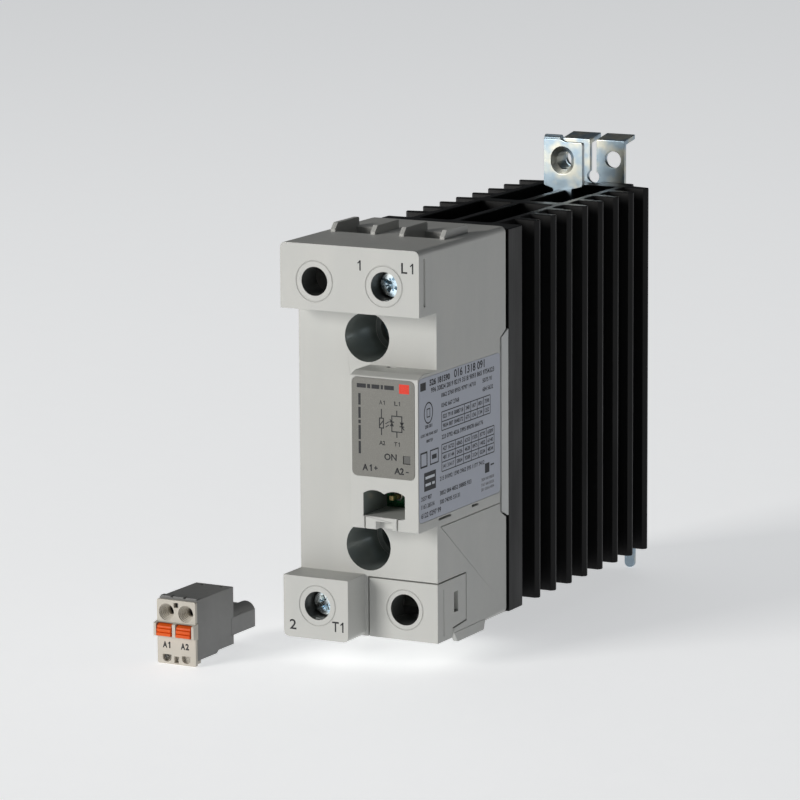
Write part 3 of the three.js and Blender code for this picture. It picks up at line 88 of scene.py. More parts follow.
class Editing:
    """A stay in edit mode on one piece, with nothing selected at the start."""

    def __init__(self, piece: bpy.types.Object) -> None:
        """Takes the piece to edit."""
        self.piece = piece

    def __enter__(self) -> bmesh.types.BMesh:
        """Opens edit mode and gives the mesh."""
        make_active(self.piece)
        bpy.ops.object.mode_set(mode="EDIT")
        bpy.ops.mesh.select_all(action="DESELECT")
        return bmesh.from_edit_mesh(self.piece.data)

    def __exit__(self, *_: object) -> None:
        """Goes back to object mode."""
        bpy.ops.object.mode_set(mode="OBJECT")


def apply_modifier(piece: bpy.types.Object, kind: str, **settings: object) -> None:
    """Adds a modifier to a piece and applies it.

    Args:
        piece: The piece to change.
        kind: Blender's name for the modifier.
        settings: The modifier's values.
    """
    make_active(piece)
    modifier = piece.modifiers.new(kind.title(), kind)
    for key, value in settings.items():
        setattr(modifier, key, value)
    bpy.ops.object.modifier_apply(modifier=modifier.name)


def apply_place(piece: bpy.types.Object) -> None:
    """Moves a piece's place, turn and scale into its mesh."""
    make_active(piece)
    bpy.ops.object.transform_apply(location=True, rotation=True, scale=True)


def node_copy(node: str, name: str, flatten: bool = True) -> bpy.types.Object:
    """Copies a CAD node's mesh as a new, merged piece.

    Args:
        node: The CAD node.
        name: The new piece's name.
        flatten: Joins the triangles of each flat face into one.

    Returns:
        The piece, without materials.
    """
    source = frame["nodes"][node]
    piece = source.copy()
    piece.data = source.data.copy()
    piece.name = piece.data.name = name
    piece.parent = None
    for key in list(piece.keys()):
        del piece[key]
    bpy.context.scene.collection.objects.link(piece)
    piece.data.materials.clear()
    make_active(piece)
    bpy.ops.mesh.customdata_custom_splitnormals_clear()
    with Editing(piece):
        bpy.ops.mesh.select_all(action="SELECT")
        bpy.ops.mesh.remove_doubles(threshold=0.002 * MM)
        if flatten:
            bpy.ops.mesh.dissolve_limited(angle_limit=math.radians(0.4))
    return piece


def round_edges(piece: bpy.types.Object, width: float, segments: int = 2, sharper: float = 30.0,
                where: Callable[[bmesh.types.BMEdge], bool] | None = None) -> None:
    """Rounds a piece's sharp edges.

    Args:
        piece: The piece to change.
        width: The rounding's width in millimetres.
        segments: Faces across each rounding.
        sharper: Only edges that bend by more than this, in degrees.
        where: Takes an edge and tells if it is rounded.
    """
    with Editing(piece) as mesh:
        weight = mesh.edges.layers.float.get("bevel_weight_edge")
        weight = weight or mesh.edges.layers.float.new("bevel_weight_edge")
        for edge in mesh.edges:
            bend = edge.calc_face_angle(0.0)
            chosen = bend > math.radians(sharper) and (where is None or where(edge))
            edge[weight] = 1.0 if chosen else 0.0
        bmesh.update_edit_mesh(piece.data)
    apply_modifier(piece, "BEVEL", width=width * MM, segments=segments, limit_method="WEIGHT",
                   use_clamp_overlap=False, loop_slide=False, miter_outer="MITER_ARC")


def smooth(piece: bpy.types.Object, angle: float = 38.0) -> None:
    """Shades a piece smooth except over sharp edges, with flat faces kept flat."""
    make_active(piece)
    bpy.ops.object.shade_smooth_by_angle(angle=math.radians(angle))
    apply_modifier(piece, "WEIGHTED_NORMAL", keep_sharp=True)


def rounded_copy(node: str, name: str, body: str, material: bpy.types.Material,
                 edge: float, flatten: bool = True) -> bpy.types.Object:
    """Puts a CAD node's copy with rounded edges in the node's place.

    Args:
        node: The CAD node.
        name: The new piece's name.
        body: The CAD body it moves with.
        material: Its finish.
        edge: The rounding's width in millimetres.
        flatten: Joins the triangles of each flat face into one.

    Returns:
        The piece.
    """
    piece = node_copy(node, name, flatten)
    round_edges(piece, edge)
    smooth(piece)
    dress(piece, material)
    place(piece, body, [node])
    return piece


def block(name: str, low: Sequence[float], high: Sequence[float]) -> bpy.types.Object:
    """Adds a box between two corners in metres, with its place applied."""
    low, high = Vector(low), Vector(high)
    bpy.ops.object.select_all(action="DESELECT")
    bpy.ops.mesh.primitive_cube_add(size=1, location=(low + high) / 2, scale=high - low)
    piece = bpy.context.active_object
    piece.name = piece.data.name = name
    apply_place(piece)
    return piece


def rod(name: str, start: Sequence[float], end: Sequence[float], radius: float,
        sides: int = 32) -> bpy.types.Object:
    """Adds a cylinder between two points in metres, with its place applied."""
    start, end = Vector(start), Vector(end)
    turn = (end - start).to_track_quat("Z", "Y").to_euler()
    bpy.ops.object.select_all(action="DESELECT")
    bpy.ops.mesh.primitive_cylinder_add(vertices=sides, radius=radius, depth=(end - start).length,
                                        location=(start + end) / 2, rotation=turn)
    piece = bpy.context.active_object
    piece.name = piece.data.name = name
    apply_place(piece)
    return piece


def join(name: str, pieces: Sequence[bpy.types.Object]) -> bpy.types.Object:
    """Joins several pieces as one.

    Args:
        name: The joined piece's name.
        pieces: The pieces; the first one is kept.

    Returns:
        The joined piece.
    """
    bpy.ops.object.select_all(action="DESELECT")
    for piece in pieces:
        piece.select_set(True)
    bpy.context.view_layer.objects.active = pieces[0]
    bpy.ops.object.join()
    pieces[0].name = pieces[0].data.name = name
    return pieces[0]


def carve(piece: bpy.types.Object, tools: Iterable[bpy.types.Object]) -> None:
    """Cuts tools out of a piece and removes them."""
    for tool in tools:
        apply_modifier(piece, "BOOLEAN", operation="DIFFERENCE", solver="EXACT", object=tool)
        bpy.data.objects.remove(tool)


# ---------------------------------------------------------------- finishes
class Graph:
    """A new material's nodes."""

    def __init__(self, name: str) -> None:
        """Starts a material with a shader and its output."""
        self.material = bpy.data.materials.new(name)
        self.material.use_nodes = True
        self.nodes = self.material.node_tree.nodes
        self.nodes.clear()
        self.shader = self.nodes.new("ShaderNodeBsdfPrincipled")
        output = self.nodes.new("ShaderNodeOutputMaterial")
        self.link(self.shader.outputs[0], output.inputs["Surface"])
        self.place = self.nodes.new("ShaderNodeTexCoord").outputs["Object"]

    def link(self, source: bpy.types.NodeSocket, target: bpy.types.NodeSocket) -> None:
        """Joins two sockets."""
        self.material.node_tree.links.new(source, target)

    def set(self, **values: object) -> None:
        """Sets shader sockets by name, with _ for a space."""
        for key, value in values.items():
            self.shader.inputs[key.replace("_", " ")].default_value = value

    def noise(self, size: float, detail: float = 3.0, stretch: Colour = (1, 1, 1),
              rough: float = 0.5) -> bpy.types.NodeSocket:
        """A noise pattern.

        Args:
            size: Feature size in millimetres.
            detail: Layers of finer noise.
            stretch: How much longer features are along each axis.
            rough: Share of the finer layers.

        Returns:
            The noise factor's socket.
        """
        mapping = self.nodes.new("ShaderNodeMapping")
        mapping.inputs["Scale"].default_value = [1 / s for s in stretch]
        self.link(self.place, mapping.inputs["Vector"])
        noise = self.nodes.new("ShaderNodeTexNoise")
        noise.inputs["Scale"].default_value = 1 / (size * MM)
        noise.inputs["Detail"].default_value = detail
        noise.inputs["Roughness"].default_value = rough
        self.link(mapping.outputs[0], noise.inputs["Vector"])
        return noise.outputs[0]

    def between(self, factor: bpy.types.NodeSocket, low: float, high: float,
                start: float = 0.3, end: float = 0.7) -> bpy.types.NodeSocket:
        """Maps a factor to values between low and high."""
        spread = self.nodes.new("ShaderNodeMapRange")
        self.link(factor, spread.inputs["Value"])
        for key, value in (("From Min", start), ("From Max", end), ("To Min", low), ("To Max", high)):
            spread.inputs[key].default_value = value
        return spread.outputs[0]

    def blend(self, factor: bpy.types.NodeSocket, first: object, second: object) -> bpy.types.NodeSocket:
        """Mixes two colours or sockets by a factor."""
        mix = self.nodes.new("ShaderNodeMix")
        mix.data_type = "RGBA"
        self.link(factor, mix.inputs[0])
        for value, socket in ((first, mix.inputs[6]), (second, mix.inputs[7])):
            if isinstance(value, bpy.types.NodeSocket):
                self.link(value, socket)
            else:
                socket.default_value = (*value, 1)
        return mix.outputs[2]

    def bump(self, height: bpy.types.NodeSocket, depth: float, strength: float = 1.0,
             under: bpy.types.NodeSocket | None = None) -> bpy.types.NodeSocket:
        """Turns a height into a bump of that depth in millimetres."""
        bump = self.nodes.new("ShaderNodeBump")
        bump.inputs["Distance"].default_value = depth * MM
        bump.inputs["Strength"].default_value = strength
        self.link(height, bump.inputs["Height"])
        if under is not None:
            self.link(under, bump.inputs["Normal"])
        return bump.outputs[0]

    def finish(self, colour: bpy.types.NodeSocket, roughness: bpy.types.NodeSocket,
               normal: bpy.types.NodeSocket) -> bpy.types.Material:
        """Links colour, roughness and normal to the shader and gives the material."""
        self.link(colour, self.shader.inputs["Base Color"])
        self.link(roughness, self.shader.inputs["Roughness"])
        self.link(normal, self.shader.inputs["Normal"])
        return self.material


@dataclass(frozen=True)
class MouldedPlastic:
    """Moulded plastic with a fine spark-eroded grain and faint flow marks."""

    name: str
    colour: Colour
    shade: Colour
    rough: tuple[float, float] = (0.42, 0.56)
    grain: float = 0.16
    depth: float = 0.012
    gloss: float = 0.42

    def make(self) -> bpy.types.Material:
        """Builds the material."""
        graph = Graph(self.name)
        graph.set(Metallic=0.0, Specular_IOR_Level=self.gloss)
        flow = graph.between(graph.noise(9.0, 2.0, (1, 1, 3)), 0, 1)
        colour = graph.blend(flow, self.colour, self.shade)
        specks = graph.between(graph.noise(0.5, 2.0), 0, 0.35, 0.55, 0.8)
        colour = graph.blend(specks, colour, self.shade)
        grain = graph.noise(self.grain, 2.0)
        wide = graph.bump(graph.noise(3.0, 1.0), self.depth * 2, 0.5)
        normal = graph.bump(grain, self.depth, 0.8, wide)
        rough = graph.between(graph.noise(1.6, 3.0), *self.rough)
        return graph.finish(colour, rough, normal)


@dataclass(frozen=True)
class PlatedSteel:
    """Plated metal with cloudy colour, drawing lines and small scuffs."""

    name: str
    colour: Colour
    cast: Colour
    rough: tuple[float, float] = (0.22, 0.4)
    stretch: Colour = (1, 1, 6)
    depth: float = 0.003

    def make(self) -> bpy.types.Material:
        """Builds the material."""
        graph = Graph(self.name)
        graph.set(Metallic=1.0)
        clouds = graph.between(graph.noise(4.5, 2.0), 0, 1, 0.4, 0.6)
        colour = graph.blend(clouds, self.colour, self.cast)
        lines = graph.noise(0.22, 2.0, self.stretch)
        scuffs = graph.noise(1.1, 4.0, (1, 1, 1), 0.65)
        normal = graph.bump(lines, self.depth, 0.7, graph.bump(scuffs, self.depth * 2, 0.4))
        rough = graph.between(scuffs, *self.rough)
        return graph.finish(colour, rough, normal)


@dataclass(frozen=True)
class AnodisedExtrusion:
    """Black anodised aluminium with the lines that the die leaves along Z."""

    name: str
    colour: Colour
    worn: Colour
    rough: tuple[float, float] = (0.36, 0.52)

    def make(self) -> bpy.types.Material:
        """Builds the material."""
        graph = Graph(self.name)
        graph.set(Metallic=0.2, Specular_IOR_Level=0.28)
        lines = graph.noise(0.3, 3.0, (1, 1, 300))
        patches = graph.noise(6.0, 3.0, (1, 1, 4))
        colour = graph.blend(graph.between(lines, 0, 1, 0.42, 0.75), self.colour, self.worn)
        colour = graph.blend(graph.between(patches, 0, 0.5), colour, self.colour)
        matt = graph.noise(0.12, 2.0)
        normal = graph.bump(matt, 0.006, 0.6, graph.bump(lines, 0.03, 0.6))
        rough = graph.between(patches, *self.rough)
        return graph.finish(colour, rough, normal)


@dataclass(frozen=True)
class PrintedFilm:
    """A satin film label with a faint fleck and the slight waviness of its adhesive."""

    name: str
    colour: Colour
    fleck: Colour
    rough: tuple[float, float] = (0.3, 0.4)
    shine: float = 0.0

    def make(self) -> bpy.types.Material:
        """Builds the material."""
        graph = Graph(self.name)
        graph.set(Metallic=self.shine, Specular_IOR_Level=0.5)
        flecks = graph.between(graph.noise(0.12, 1.0), 0, 1, 0.45, 0.75)
        colour = graph.blend(flecks, self.colour, self.fleck)
        waves = graph.bump(graph.noise(4.0, 1.0), 0.03, 0.35)
        normal = graph.bump(graph.noise(0.1, 1.0), 0.004, 0.5, waves)
        rough = graph.between(graph.noise(2.0, 2.0), *self.rough)
        return graph.finish(colour, rough, normal)


@dataclass(frozen=True)
class Ink:
    """Printed ink, a little uneven."""

    name: str
    colour: Colour
    thin: Colour

    def make(self) -> bpy.types.Material:
        """Builds the material."""
        graph = Graph(self.name)
        graph.set(Specular_IOR_Level=0.3)
        cover = graph.noise(0.25, 2.0)
        colour = graph.blend(graph.between(cover, 0, 1, 0.4, 0.8), self.colour, self.thin)
        normal = graph.bump(cover, 0.003, 0.5)
        return graph.finish(colour, graph.between(cover, 0.45, 0.6), normal)


@dataclass(frozen=True)
class ClearPlastic:
    """Milky clear plastic, such as a light pipe."""

    name: str
    colour: Colour
    clear: float = 0.4

    def make(self) -> bpy.types.Material:
        """Builds the material."""
        graph = Graph(self.name)
        graph.set(Transmission_Weight=self.clear, IOR=1.5)
        haze = graph.noise(0.6, 2.0)
        darker = tuple(0.85 * c for c in self.colour)
        colour = graph.blend(graph.between(haze, 0, 1), self.colour, darker)
        normal = graph.bump(haze, 0.01, 0.4)
        return graph.finish(colour, graph.between(haze, 0.15, 0.3), normal)


@dataclass(frozen=True)
class CircuitBoard:
    """Green solder mask over copper tracks, with tinned pads showing through."""

    name: str
    mask: Colour = (0.012, 0.1, 0.035)
    track: Colour = (0.03, 0.2, 0.07)
    pad: Colour = (0.55, 0.5, 0.36)

    def make(self) -> bpy.types.Material:
        """Builds the material."""
        graph = Graph(self.name)
        graph.set(Specular_IOR_Level=0.6)
        cells = graph.nodes.new("ShaderNodeTexVoronoi")
        cells.inputs["Scale"].default_value = 420
        cells.distance = "CHEBYCHEV"
        graph.link(graph.place, cells.inputs["Vector"])
        near = cells.outputs["Distance"]
        tracks = graph.between(near, 1, 0, 0.3, 0.34)
        pads = graph.between(near, 1, 0, 0.09, 0.12)
        colour = graph.blend(tracks, self.mask, self.track)
        colour = graph.blend(pads, colour, self.pad)
        normal = graph.bump(tracks, 0.03, 0.6)
        rough = graph.between(graph.noise(0.4, 2.0), 0.22, 0.34)
        return graph.finish(colour, rough, normal)


class Finishes:
    """Every material of the model, made once."""

    def __init__(self) -> None:
        """Builds the materials."""
        self.light_plastic = MouldedPlastic("light_grey_plastic", (0.575, 0.575, 0.55),
                                            (0.545, 0.55, 0.53)).make()
        self.frame_plastic = MouldedPlastic("pale_frame_plastic", (0.64, 0.65, 0.64),
                                            (0.6, 0.61, 0.6)).make()
        # Painted shade: the terminal bores, the spare hole and the cover hole are housing plastic,
        # coloured near black for the shade inside them.
        self.bore_painted_shade = MouldedPlastic("bore_painted_shade", (0.11, 0.115, 0.11), (0.075, 0.08, 0.077),
                                           (0.3, 0.42)).make()
        # Painted shade: the fixing wells and the control socket's walls and roof are housing plastic
        # coloured darker for the shade in them; their lower roughness is the surface's own.
        self.well_painted_shade = MouldedPlastic("well_painted_shade", (0.27, 0.295, 0.285), (0.225, 0.25, 0.24),
                                           (0.16, 0.24), 2.5, 0.012, 0.6).make()
        self.silver_film = PrintedFilm("silver_label_film", (0.175, 0.172, 0.156), (0.215, 0.212, 0.194),
                                       (0.36, 0.46), 0.15).make()
        self.white_film = PrintedFilm("white_label_film", (0.44, 0.47, 0.545),
                                      (0.42, 0.445, 0.52)).make()
        self.anodised = AnodisedExtrusion("black_anodised", (0.006, 0.006, 0.0062),
                                          (0.012, 0.012, 0.0125)).make()
        self.zinc = PlatedSteel("zinc_plate", (0.33, 0.42, 0.49), (0.58, 0.58, 0.51), (0.3, 0.42),
                                (1, 1, 6), 0.0012).make()
        self.zinc_screw = PlatedSteel("zinc_screw", (0.5, 0.66, 0.78), (0.84, 0.85, 0.8),
                                      (0.14, 0.24), (1, 1, 1), 0.0012).make()
        self.spring_steel = PlatedSteel("spring_steel", (0.4, 0.41, 0.43), (0.48, 0.47, 0.45)).make()
        self.tin = PlatedSteel("tinned_copper", (0.62, 0.62, 0.6), (0.7, 0.66, 0.55)).make()
        self.gold = PlatedSteel("gilded_pin", (0.78, 0.6, 0.28), (0.7, 0.6, 0.42)).make()
        self.copper = PlatedSteel("bare_copper", (0.72, 0.36, 0.22), (0.6, 0.27, 0.15)).make()
        self.ceramic = MouldedPlastic("white_ceramic", (0.8, 0.78, 0.72), (0.75, 0.73, 0.67)).make()
        self.silicon = PlatedSteel("silicon", (0.2, 0.21, 0.25), (0.26, 0.26, 0.27)).make()
        self.grease = MouldedPlastic("thermal_grease", (0.72, 0.75, 0.75), (0.62, 0.66, 0.67),
                                     (0.5, 0.7), 0.8, 0.05).make()
        self.board = CircuitBoard("circuit_board").make()
        self.black_plastic = MouldedPlastic("black_moulding", (0.018, 0.018, 0.019),
                                            (0.026, 0.026, 0.027)).make()
        self.clear_plastic = ClearPlastic("milky_light_pipe", (0.12, 0.12, 0.115), 0.05).make()
        self.lens = ClearPlastic("led_lens", (0.75, 0.7, 0.3)).make()
        self.blue_lacquer = MouldedPlastic("blue_lacquer", (0.04, 0.13, 0.36), (0.05, 0.16, 0.4),
                                           (0.18, 0.3), 0.6, 0.02, 0.6).make()
        self.plug_grey = MouldedPlastic("mid_grey_plastic", (0.235, 0.235, 0.232),
                                        (0.205, 0.205, 0.203), (0.4, 0.52)).make()
        self.beige = MouldedPlastic("beige_plastic", (0.6, 0.565, 0.5), (0.56, 0.525, 0.46)).make()
        self.orange = MouldedPlastic("orange_plastic", (0.8, 0.115, 0.006), (0.72, 0.09, 0.004),
                                     (0.4, 0.5), 0.2, 0.01, 0.3).make()
        self.dark_ink = Ink("dark_ink", (0.02, 0.021, 0.024), (0.04, 0.042, 0.046)).make()
        self.grey_ink = Ink("grey_ink", (0.2, 0.2, 0.21), (0.26, 0.26, 0.27)).make()
        self.red_ink = Ink("red_ink", (0.75, 0.04, 0.02), (0.8, 0.07, 0.04)).make()
        self.white_ink = Ink("white_ink", (0.7, 0.73, 0.78), (0.66, 0.7, 0.76)).make()
        self.floor = MouldedPlastic("pale_floor", (0.86, 0.86, 0.86), (0.84, 0.84, 0.845),
                                    (0.6, 0.7), 2.0, 0.002, 0.2).make()
        paper = self.floor.node_tree.nodes["Principled BSDF"]
        paper.inputs["Emission Color"].default_value = (0.97, 0.985, 1.0, 1)
        paper.inputs["Emission Strength"].default_value = 0.55


def dress(piece: bpy.types.Object, material: bpy.types.Material) -> None:
    """Gives a piece one material over all its faces."""
    piece.data.materials.clear()
    piece.data.materials.append(material)


def dress_node(node: str, material: bpy.types.Material) -> None:
    """Gives a CAD node one material and says so in the log."""
    for slot in frame["nodes"][node].material_slots:
        slot.link = "DATA"
        slot.material = material
    log.info("node %s keeps its shape", node)


def place(piece: bpy.types.Object, body: str, nodes: Sequence[str] = ()) -> None:
    """Puts a finished piece on a body, in place of CAD nodes if any are given.

    Args:
        piece: The finished piece.
        body: The CAD body it moves with.
        nodes: CAD nodes that it stands for.
    """
    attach(piece, body)
    if nodes:
        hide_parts(*nodes)
    log.info("piece %s rides on %s, %d faces", piece.name, body, len(piece.data.polygons))


# ---------------------------------------------------------------- printing
class Facing(Enum):
    """The way a printed surface faces; its reading direction follows."""

    FRONT = "front"
    SIDE = "side"

    def turn(self) -> Euler:
        """How a text that lies flat is turned onto the surface."""
        return Euler((math.pi / 2, 0, 0 if self is Facing.FRONT else math.pi / 2))

    def point(self, across: float, up: float, out: float) -> Vector:
        """A point from its reading direction, height and outward place, in metres."""
        if self is Facing.FRONT:
            return Vector((across, -out, up))
        return Vector((out, across, up))


@dataclass
class Print:
    """Ink on a flat surface: lettering and strokes, joined as one piece.

    The origin is the surface's upper left corner. Places are in millimetres, to the right and down.
    """

    facing: Facing
    left: float
    top: float
    surface: float
    thick: float = 0.012
    marks: list[bpy.types.Object] = field(default_factory=list)

    def _put(self, mark: bpy.types.Object, across: float, down: float) -> None:
        """Turns a flat mark onto the surface, with its own origin at the place given."""
        mark.rotation_euler = self.facing.turn()
        mark.location = self.facing.point(self.left + across * MM, self.top - down * MM,
                                          self.surface + self.thick * MM)
        apply_place(mark)
        self.marks.append(mark)

    def letters(self, body: str, left: float, top: float, right: float, foot: float,
                weight: float = 0.0, turned: bool = False) -> None:
        """Sets lettering that fills a box.

        Args:
            body: The characters.
            left: Left edge of the box.
            top: Upper edge.
            right: Right edge.
            foot: Lower edge.
            weight: Extra thickness of the strokes, as a share of the size.
            turned: Reads upwards.
        """
        bpy.ops.object.select_all(action="DESELECT")
        bpy.ops.object.text_add()
        mark = bpy.context.active_object
        mark.data.body = body
        mark.data.resolution_u = 3
        mark.data.offset = weight
        bpy.ops.object.convert(target="MESH")
        if turned:
            mark.rotation_euler = (0, 0, math.pi / 2)
            apply_place(mark)
        xs = [v.co.x for v in mark.data.vertices]
        ys = [v.co.y for v in mark.data.vertices]
        low, high = Vector((min(xs), min(ys), 0)), Vector((max(xs), max(ys), 0))
        size = high - low
        mark.location = -low
        apply_place(mark)
        mark.scale = ((right - left) * MM / size.x, (foot - top) * MM / size.y, 1)
        apply_place(mark)
        self._put(mark, left, foot)

    def one(self, right: float, top: float, foot: float, width: float) -> None:
        """Draws a figure one with its flag, by strokes; right is its right edge."""
        stem = right - width / 2
        flag = (foot - top) * 0.3
        self.stroke((stem, top), (stem, foot), width)
        self.stroke((stem, top + width * 0.45), (stem - flag * 0.85, top + flag), width * 0.8)

    def stroke(self, start: Sequence[float], end: Sequence[float], width: float) -> None:
        """Draws a straight stroke of a width in millimetres."""
        (x0, y0), (x1, y1) = start, end
        bpy.ops.object.select_all(action="DESELECT")
        bpy.ops.mesh.primitive_plane_add(size=1)
        mark = bpy.context.active_object
        mark.scale = (math.hypot(x1 - x0, y1 - y0) * MM, width * MM, 1)
        mark.rotation_euler = (0, 0, -math.atan2(y1 - y0, x1 - x0))
        apply_place(mark)
        self._put(mark, (x0 + x1) / 2, (y0 + y1) / 2)

    def frame(self, left: float, top: float, right: float, foot: float, width: float) -> None:
        """Draws a rectangle's outline."""
        half = width / 2
        self.stroke((left - half, top), (right + half, top), width)
        self.stroke((left - half, foot), (right + half, foot), width)
        self.stroke((left, top), (left, foot), width)
        self.stroke((right, top), (right, foot), width)

    def ring(self, across: float, down: float, radius: float, width: float, tall: float = 1.15,
             sides: int = 24) -> None:
        """Draws an upright oval's outline with short strokes; tall is its height for its width."""
        spots = [(across + radius * math.cos(2 * math.pi * k / sides),
                  down + tall * radius * math.sin(2 * math.pi * k / sides)) for k in range(sides + 1)]
        for start, end in zip(spots, spots[1:]):
            self.stroke(start, end, width)

    def arrow(self, across: float, down: float, size: float, up: bool) -> None:
        """Draws a filled triangle that points up or down."""
        bpy.ops.object.select_all(action="DESELECT")
        bpy.ops.mesh.primitive_circle_add(vertices=3, radius=size * MM, fill_type="NGON")
        mark = bpy.context.active_object
        mark.rotation_euler = (0, 0, 0 if up else math.pi)
        apply_place(mark)
        self._put(mark, across, down)

    def finish(self, name: str, material: bpy.types.Material, slot: str,
               body: str = "relay") -> bpy.types.Object:
        """Joins the marks, gives them thickness and a material, and puts them on a body."""
        piece = join(name, self.marks)
        with Editing(piece):
            bpy.ops.mesh.select_all(action="SELECT")
            bpy.ops.mesh.normals_make_consistent(inside=False)
        with Editing(piece) as mesh:
            out = self.facing.point(0, 0, 1)
            for face in mesh.faces:
                if face.normal.dot(out) < 0:
                    face.normal_flip()
            bmesh.update_edit_mesh(piece.data)
        apply_modifier(piece, "SOLIDIFY", thickness=self.thick * MM, offset=-1.0)
        dress(piece, material)
        place(piece, body)
        return piece


# ---------------------------------------------------------------- casework
@dataclass
class Casework:
    """Housing, terminal cover and base frame, with the characters moulded on the terminal blocks."""

    finishes: Finishes
    edge: float = 0.12
    height: float = 90.0
    block_step: float = 0.8
    access_radius: float = 3.25
    well_radius: float = 5.6
    cover_radius: float = 3.6
    cover_hole: tuple[float, float] = (9.0, 7.0)

    def build(self) -> None:
        """Builds and dresses the casework."""
        made = self.finishes
        housing = self._shell("housing", "housing_shell", made.light_plastic)
        cover = self._shell("terminal_cover", "cover_shell", made.light_plastic)
        self._shell("base_frame", "base_frame_moulding", made.frame_plastic)
        # The bores, the fixing wells and the cover hole get darker plastic: painted shade.
        for node in ("terminal_screw_L1", "terminal_screw_T1"):
            self._bore(housing, self._middle(node), self.access_radius, 3, made.bore_painted_shade)
        spare = self._middle("terminal_screw_L1")
        spare.x = -spare.x
        self._bore(housing, spare, self.access_radius, 3, made.bore_painted_shade)
        for node in ("fixing_screw_upper", "fixing_screw_lower"):
            self._bore(housing, self._middle(node), self.well_radius, 11, made.well_painted_shade)
        low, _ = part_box("terminal_cover")
        hole = Vector((low.x + self.cover_hole[0] * MM, 0, low.z + self.cover_hole[1] * MM))
        self._bore(cover, hole, self.cover_radius, 2, made.bore_painted_shade)
        self._shade_socket(housing)
        self._characters()

    @staticmethod
    def _middle(node: str) -> Vector:
        """The middle of a CAD node's box."""
        low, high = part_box(node)
        return (low + high) / 2

    @staticmethod
    def _paint(piece: bpy.types.Object, material: bpy.types.Material,
               chosen: Callable[[bpy.types.MeshPolygon], bool]) -> None:
        """Gives one material to the faces of a piece that are chosen."""
        if material.name not in piece.data.materials:
            piece.data.materials.append(material)
        index = piece.data.materials.find(material.name)
        for face in piece.data.polygons:
            if chosen(face):
                face.material_index = index

    def _bore(self, piece: bpy.types.Object, axis: Vector, radius: float, deep: float,
              material: bpy.types.Material) -> None:
        """Paints shade inside a bore along Y, as darker plastic on its wall and far faces.

        Args:
            piece: The piece with the bore.
            axis: A point on the bore's axis.
            radius: The bore's radius in millimetres.
            deep: Faces across the bore are painted beyond this depth, in millimetres.
            material: The painted shade of its wall.
        """
        front = Vector(min(piece.bound_box, key=lambda corner: corner[1]))

        def inside(face: bpy.types.MeshPolygon) -> bool:
            """Tells if a face lies in the bore, behind the outer surface."""
            off = math.hypot(face.center.x - axis.x, face.center.z - axis.z)
            return off < (radius + 0.05) * MM and abs(face.normal.y) < 0.5 or (
                off < radius * 0.98 * MM and face.center.y > front.y + deep * MM)

        self._paint(piece, material, inside)

    def _shade_socket(self, housing: bpy.types.Object) -> None:
        """Paints shade on the control socket's side walls and roof, darker than its sill."""
        tail = self._middle("control_pin_A1").x, self._middle("control_pin_A2").x
        left, right = min(tail) - 2.75 * MM, max(tail) + 2.75 * MM
        foot = self._middle("control_pin_A1").z - 2.7 * MM
        front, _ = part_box("housing")

        def inside(face: bpy.types.MeshPolygon) -> bool:
            """Tells if a face is one of the socket's walls or its roof."""
            at, way = face.center, face.normal
            level = foot - 0.1 * MM < at.z < foot + 6.2 * MM
            return (left < at.x < right and level and front.y + 0.2 * MM < at.y < front.y + 11 * MM
                    and abs(way.y) < 0.6 and way.z < 0.5)

        self._paint(housing, self.finishes.well_painted_shade, inside)

    def _shell(self, node: str, name: str, material: bpy.types.Material) -> bpy.types.Object:
        """Copies a shell; the housing keeps its triangles, as its sides hold too many holes to join."""
        return rounded_copy(node, name, "relay", material, self.edge, node != "housing")

    def _characters(self) -> None:
        """Terminal characters on the front of the blocks."""
        label_low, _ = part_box("front_label")
        front = -(label_low.y + self.block_step * MM)
        cover_low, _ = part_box("terminal_cover")
        _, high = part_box("side_label")
        ink = Print(Facing.FRONT, -high.x, cover_low.z + self.height * MM, front)
        ink.one(20.5, 2.9, 5.2, 0.36)
        ink.letters("L", 30.6, 2.8, 32.1, 5.15, 0.012)
        ink.one(33.6, 2.8, 5.15, 0.36)
        ink.letters("2", 1.6, 85.9, 3.3, 88.2, 0.012)
        ink.letters("T", 12.5, 85.4, 14.2, 87.75, 0.012)
        ink.one(15.4, 85.4, 87.75, 0.36)
        ink.finish("block_characters", self.finishes.dark_ink, "black_plastic")


